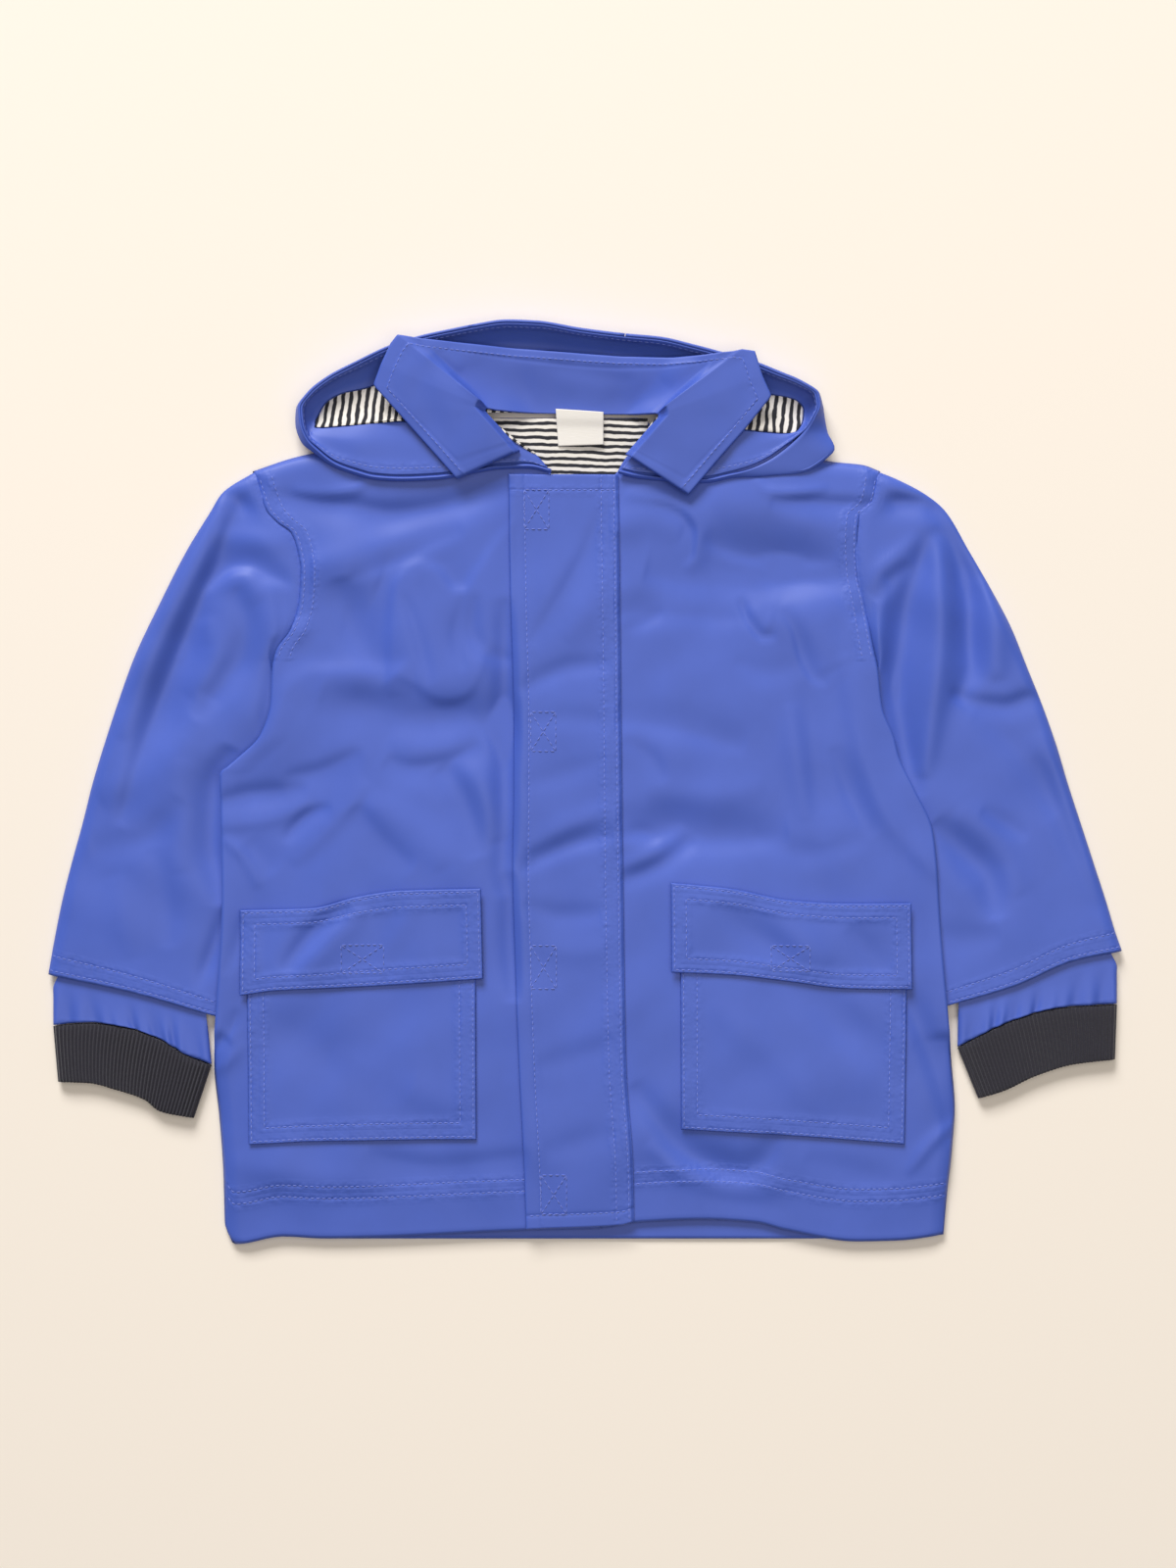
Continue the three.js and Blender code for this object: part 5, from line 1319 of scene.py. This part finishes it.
def rest_level(xy):
    """What the hood rests on: the fronts below the shoulder line, the table above it."""
    return SHOULDER_LEVEL * (1 - ease((xy[..., 1] - shoulder(xy[..., 0]) - 2) / 22))


def hood_station(k):
    pair = {name: np.stack([hood_at[name + "X"](k), hood_at[name + "Y"](k)], axis=-1)
            for name in ("rim", "out", "facing", "neck")}
    pair["out"] = pair["rim"] + pair["out"]
    return pair, hood_at["rimZ"](k)


def resting(xy, above):
    return xyz(xy[..., 0], xy[..., 1], rest_level(xy) + above)


def smooth_path(knots, v):
    """A soft curve through each station's knots; knots is (stations, knots, 3) and v the share along it."""
    knots = np.stack(knots, axis=1)
    count = knots.shape[1]
    d = v * (count - 1)
    i = np.clip(d.astype(int), 0, count - 2)
    t = (d - i)[..., None]
    row = np.arange(len(knots))[:, None]
    p = [knots[row, np.clip(i + k, 0, count - 1)] for k in (-1, 0, 1, 2)]
    slope_in, slope_out = (p[2] - p[0]) / 2, (p[3] - p[1]) / 2
    return (p[1] * (1 + 2 * t) * (1 - t) ** 2 + slope_in * t * (1 - t) ** 2
            + p[2] * t * t * (3 - 2 * t) + slope_out * t * t * (t - 1))


def toward(a, b, millimetres_in):
    reach = np.linalg.norm(b - a, axis=-1, keepdims=True)
    return a + (b - a) * millimetres_in / reach


def shell_knots(k):
    pair, rim_z = hood_station(k)
    level = rest_level(pair["out"])
    foot = toward(pair["out"], pair["facing"], 3.4)
    knots = [xyz(pair["rim"][..., 0], pair["rim"][..., 1], rim_z),
             xyz(pair["out"][..., 0], pair["out"][..., 1], mix(level, rim_z, FLANK_SHARE)),
             resting(foot, 0.1)]
    knots += [resting(mix(pair["rim"], pair["facing"], t), 0.0) for t in FACING_SHARES]
    return knots + [resting(mix(pair["facing"], pair["neck"], t), 0.0) for t in NECK_SHARES]


def facing_knots(k):
    pair, rim_z = hood_station(k)
    top = toward(pair["rim"], pair["facing"], HOOD_WALL + 0.5)
    steep = np.maximum(0, rim_z - rest_level(pair["rim"]) - STEEP_FROM)
    top_z = np.maximum(rim_z - 0.3, rest_level(top) + LINING_LIFT + LINING_WALL)
    knots = [xyz(top[..., 0], top[..., 1], top_z)]
    return knots + [resting(mix(pair["rim"], pair["facing"], t), LINING_LIFT + LINING_WALL + share * steep)
                    for t, share in zip(FACING_SHARES, STEEP_SHARES)]


def lining_knots(k):
    pair, _ = hood_station(k)
    start = toward(pair["facing"], pair["rim"], -0.6)
    lift = LINING_LIFT + LINING_WALL
    return [resting(start, lift)] + [resting(mix(pair["facing"], pair["neck"], t), lift + swell)
                                     for t, swell in zip(NECK_SHARES, LINING_SWELL)]


def along_stations(knots, start, end, relief=None):
    """A place function: u runs from one station to another, v along each station's path."""
    def place(u, v):
        if u.ndim == 1:
            return place(u[:, None], v[:, None])[:, 0]
        points = smooth_path(knots(mix(start, end, u[:, 0])), v)
        points[..., 2] = np.maximum(points[..., 2], 0)
        if relief is not None:
            points = points + relief(points, mix(start, end, u), v)[..., None] * np.array([0, 0, 1.0])
        return points
    return place


# %% Pieces of the hood
for node, title, start, end in (("hood_right", "hood right panel", 0, CENTRE_FROM - HOOD_SEAM),
                                ("hood_centre", "hood centre panel", CENTRE_FROM + HOOD_SEAM,
                                 CENTRE_TO - HOOD_SEAM),
                                ("hood_left", "hood left panel", CENTRE_TO + HOOD_SEAM, LAST_STATION)):
    place = along_stations(shell_knots, start, end)
    sheet(node, title, place, lines(STATION_LENGTH * (end - start), 3), lines(90, 1.6), 1.3, faces_up=False)


FACING_ROW = 0.16
FACING_WIDTH = 26


def facing_relief(points, k, v):
    return groove((v - FACING_ROW) * FACING_WIDTH, 0.25, 0.7) + 0.35 * np.sin(k * 2.1) * np.sin(np.pi * v)


def lining_relief(points, k, v):
    x, y = points[..., 0], points[..., 1]
    return np.sin(np.pi * v) * (1.0 * np.sin(x / 6 + y / 11) + 0.6 * np.sin(y / 4 - x / 13))


facing_place = along_stations(facing_knots, 0, LAST_STATION, facing_relief)
sheet("hood_facing", "hood facing band", facing_place, lines(700, 2.4), lines(28, 1.1),
      seam=lambda u, v: np.abs(v - FACING_ROW) * FACING_WIDTH)
lining_place = along_stations(lining_knots, 0, LAST_STATION, lining_relief)
sheet("hood_lining", "striped hood lining", lining_place, lines(600, 2.5), lines(80, 2), 0.8, hood_jersey,
      stripes=lambda p: p[:, 0] - 0.12 * p[:, 1])
sew("hood stitching", sewn_line(facing_place, (0.003, FACING_ROW), (0.997, FACING_ROW), 900))

# %% [markdown]
# ## The collar
#
# A shirt collar: its back part lies up behind the neck, and both front ends are folded over as leaves.
# Stations run along the neck seam, each with its place on the seam, its place on the free edge, and the
# heights of the roll and of the edge.

# %% Collar
COLLAR = columns("neckX neckY edgeX edgeY rollZ edgeZ rise", """
    -33 168.3 -65 154 14.4 11.2 0.1
    -37 173.5 -73 163 15.4 11.6 0.1
    -43.5 180.8 -86 177.5 16 12.2 0.1
    -49.5 187.3 -98 191 16.4 12.8 0.1
    -50.6 188.8 -107.5 201.5 16.4 13.2 0.1
    -50.4 189.6 -103.5 212 16.6 14.6 0.1
    -50 190 -98.5 222.5 16.8 15 0.1
    -49.2 190.2 -95 226.8 17 15.4 0.1
    -47.8 190 -90.5 226.2 14.5 15 0.6
    -45.4 189.6 -84 225 11 15.2 1
    -38 189 -70 223.8 9.5 13 1
    -22 188.4 -38 221 8.5 8.6 1
    -8 188.2 -8 218.8 8.2 8.2 1
    8 188 18 216.8 8.2 8.2 1
    22 188 44 216 9 9.2 1
    30 187.8 60 216.8 9.5 13.8 1
    33.6 187.8 69 217.8 11 15.4 1
    35.4 187.6 75 218.4 14.5 15.2 0.6
    36.4 187.4 79.5 219.4 17 15.4 0.1
    37 186.8 86 218.5 16.8 15 0.1
    37.2 186 90 206 16.6 14.6 0.1
    36.6 184.8 94.7 196 16.4 13.2 0.1
    33 181 81 179 16 12.2 0.1
    28 175.2 66.5 162.5 15.4 11.6 0.1
    23.4 170 58 152.5 14.6 11.4 0.1
    20.4 166.6 52.4 146 14.4 11.2 0.1""")
COLLAR["station"] = np.arange(len(COLLAR["neckX"]), dtype=float)
LAST_COLLAR = len(COLLAR["neckX"]) - 1
COLLAR_ROW = 6.5
COLLAR_WIDTH = 52
COLLAR_GRID = 50
COLLAR_TURNS = (7, 18)
COLLAR_FOLDS = fold_table("""
    -0.6 4 0: -78 216, -70 208, -62 202
    0.5 4 0: -72 218, -62 210
    -0.5 5 0: -20 212, 4 208, 26 204
    0.6 6 0: 40 204, 56 214""")


def collar_at(k, column):
    return np.interp(k, COLLAR["station"], COLLAR[column])


def collar_place(u, v):
    k = u * LAST_COLLAR
    c = {name: collar_at(k, name) for name in COLLAR}
    x, y = mix(c["neckX"], c["edgeX"], v), mix(c["neckY"], c["edgeY"], v)
    foot = rest_level(np.stack([c["neckX"], c["neckY"]], axis=-1)) + LINING_LIFT + LINING_WALL + SEAM_GAP
    z = mix(foot, mix(c["rollZ"], c["edgeZ"], v), ease(v / c["rise"])) + SHELL_WALL
    reach = np.hypot(c["edgeX"] - c["neckX"], c["edgeY"] - c["neckY"])
    from_edge = np.minimum((1 - v) * reach, np.minimum(k, LAST_COLLAR - k) * 9)
    z = z + groove(from_edge - COLLAR_ROW, 0.2) - 0.6 * (1 - quarter(from_edge, 1.4))
    return xyz(x, y, z + fold_height(COLLAR_FOLDS, x, y) + 0.4 * ripple(x * 2, y * 2))


def collar_seam(u, v):
    return np.abs((1 - v) * COLLAR_GRID - COLLAR_ROW) + 1.5


collar_shares = np.unique(np.concatenate([
    np.linspace(0, 1, 46), np.linspace(0, 0.14, 12),
    lines(COLLAR_GRID, COLLAR_GRID, [COLLAR_GRID - COLLAR_ROW, COLLAR_GRID - EDGE_LINE])]))
sheet("collar", "shirt collar", collar_place, lines(LAST_COLLAR * 10, 1.5), collar_shares, 1.4,
      seam=collar_seam)
share = 1 - COLLAR_ROW / COLLAR_WIDTH
turns = [0.01, *(station / LAST_COLLAR for station in COLLAR_TURNS), 0.99]
for start, end in zip(turns[:-1], turns[1:]):
    sew("collar stitching", sewn_line(collar_place, (start, share), (end, share), 400))

# %% [markdown]
# ## The neck label
#
# The label is a folded piece of white tape, sewn into the neck seam. It is left blank.

# %% Label
LABEL_LEFT, LABEL_RIGHT = -15, 9.4
LABEL_SLANT = 1.6
HOOD_TOP = LINING_LIFT + LINING_WALL + SEAM_GAP
LABEL = columns("share y z", [
    (0, 190.5, HOOD_TOP + SHELL_WALL + 1.8), (0.22, 186.6, HOOD_TOP + SHELL_WALL + 1.4),
    (0.55, 181, 5.4), (1, 172.5, 5.0)])
label_y, label_z = curve(LABEL, "share", "y"), curve(LABEL, "share", "z")


def label_place(u, v):
    x = mix(LABEL_LEFT + 1.3 * u, LABEL_RIGHT, v)
    y = label_y(u) - LABEL_SLANT * v + 2.4 * u * (v - 0.35)
    return xyz(x, y, label_z(u) + 0.35 * np.sin(np.pi * v))


sheet("label", "neck label", label_place, lines(18, 0.6), lines(24, 0.6), 0.5, woven_tape)

# %% [markdown]
# ## Threads
#
# Now that every row has been noted, the stitches become four meshes: those of the body, the sleeves, the
# hood and the collar.

# %% Stitch meshes
threads = {group: stitching(group) for group in stitch_rows}

# %% [markdown]
# ## The cut of each sheet
#
# Cloth neither stretches nor shrinks much, so the table below lists, for each sheet, the width, length and
# area of the flat piece that a maker would cut for it. Where a piece is a tube, the cut goes all the way
# round. A star stands for both sides of the coat. The loop under it only spells out each sheet's name.

# %% Cuts, in millimetres and square metres
CUTS = [
    ("back", 375, 425, 0.140, "laid", ""),
    ("back_lining", 90, 45, 0.0028, "laid", "back"),
    ("front_*", 200, 415, 0.066, "laid", "back"),
    ("placket", 58, 388, 0.0215, "laid", "front_right front_left"),
    ("pocket_*", 118, 126, 0.0140, "laid", "front_*"),
    ("flap_*", 124, 50, 0.0056, "laid", "pocket_*"),
    ("sleeve_*", 230, 275, 0.046, "laid", "back"),
    ("inner_sleeve_*", 170, 46, 0.0074, "gathered", "sleeve_*"),
    ("cuff_*", 175, 34, 0.0057, "laid", ""),
    ("hood_right", 330, 40, 0.0086, "laid", "front_right back"),
    ("hood_centre", 80, 50, 0.0036, "laid", "back"),
    ("hood_left", 330, 40, 0.0087, "laid", "front_left back"),
    ("hood_facing", 640, 20, 0.0082, "laid", "hood_right hood_left"),
    ("hood_lining", 500, 40, 0.0075, "laid", "hood_right hood_left"),
    ("collar", 370, 45, 0.0098, "folded", "hood_lining"),
    ("label", 25, 20, 0.00045, "laid", "back_lining"),
]
for names, width, length, area, held, below in CUTS:
    for side in ("right", "left") if "*" in names else ("",):
        node = names.replace("*", side)

# %% [markdown]
# ## The end
#
# Last, the view layer is brought up to date.

# %% Update the view layer
bpy.context.view_layer.update()
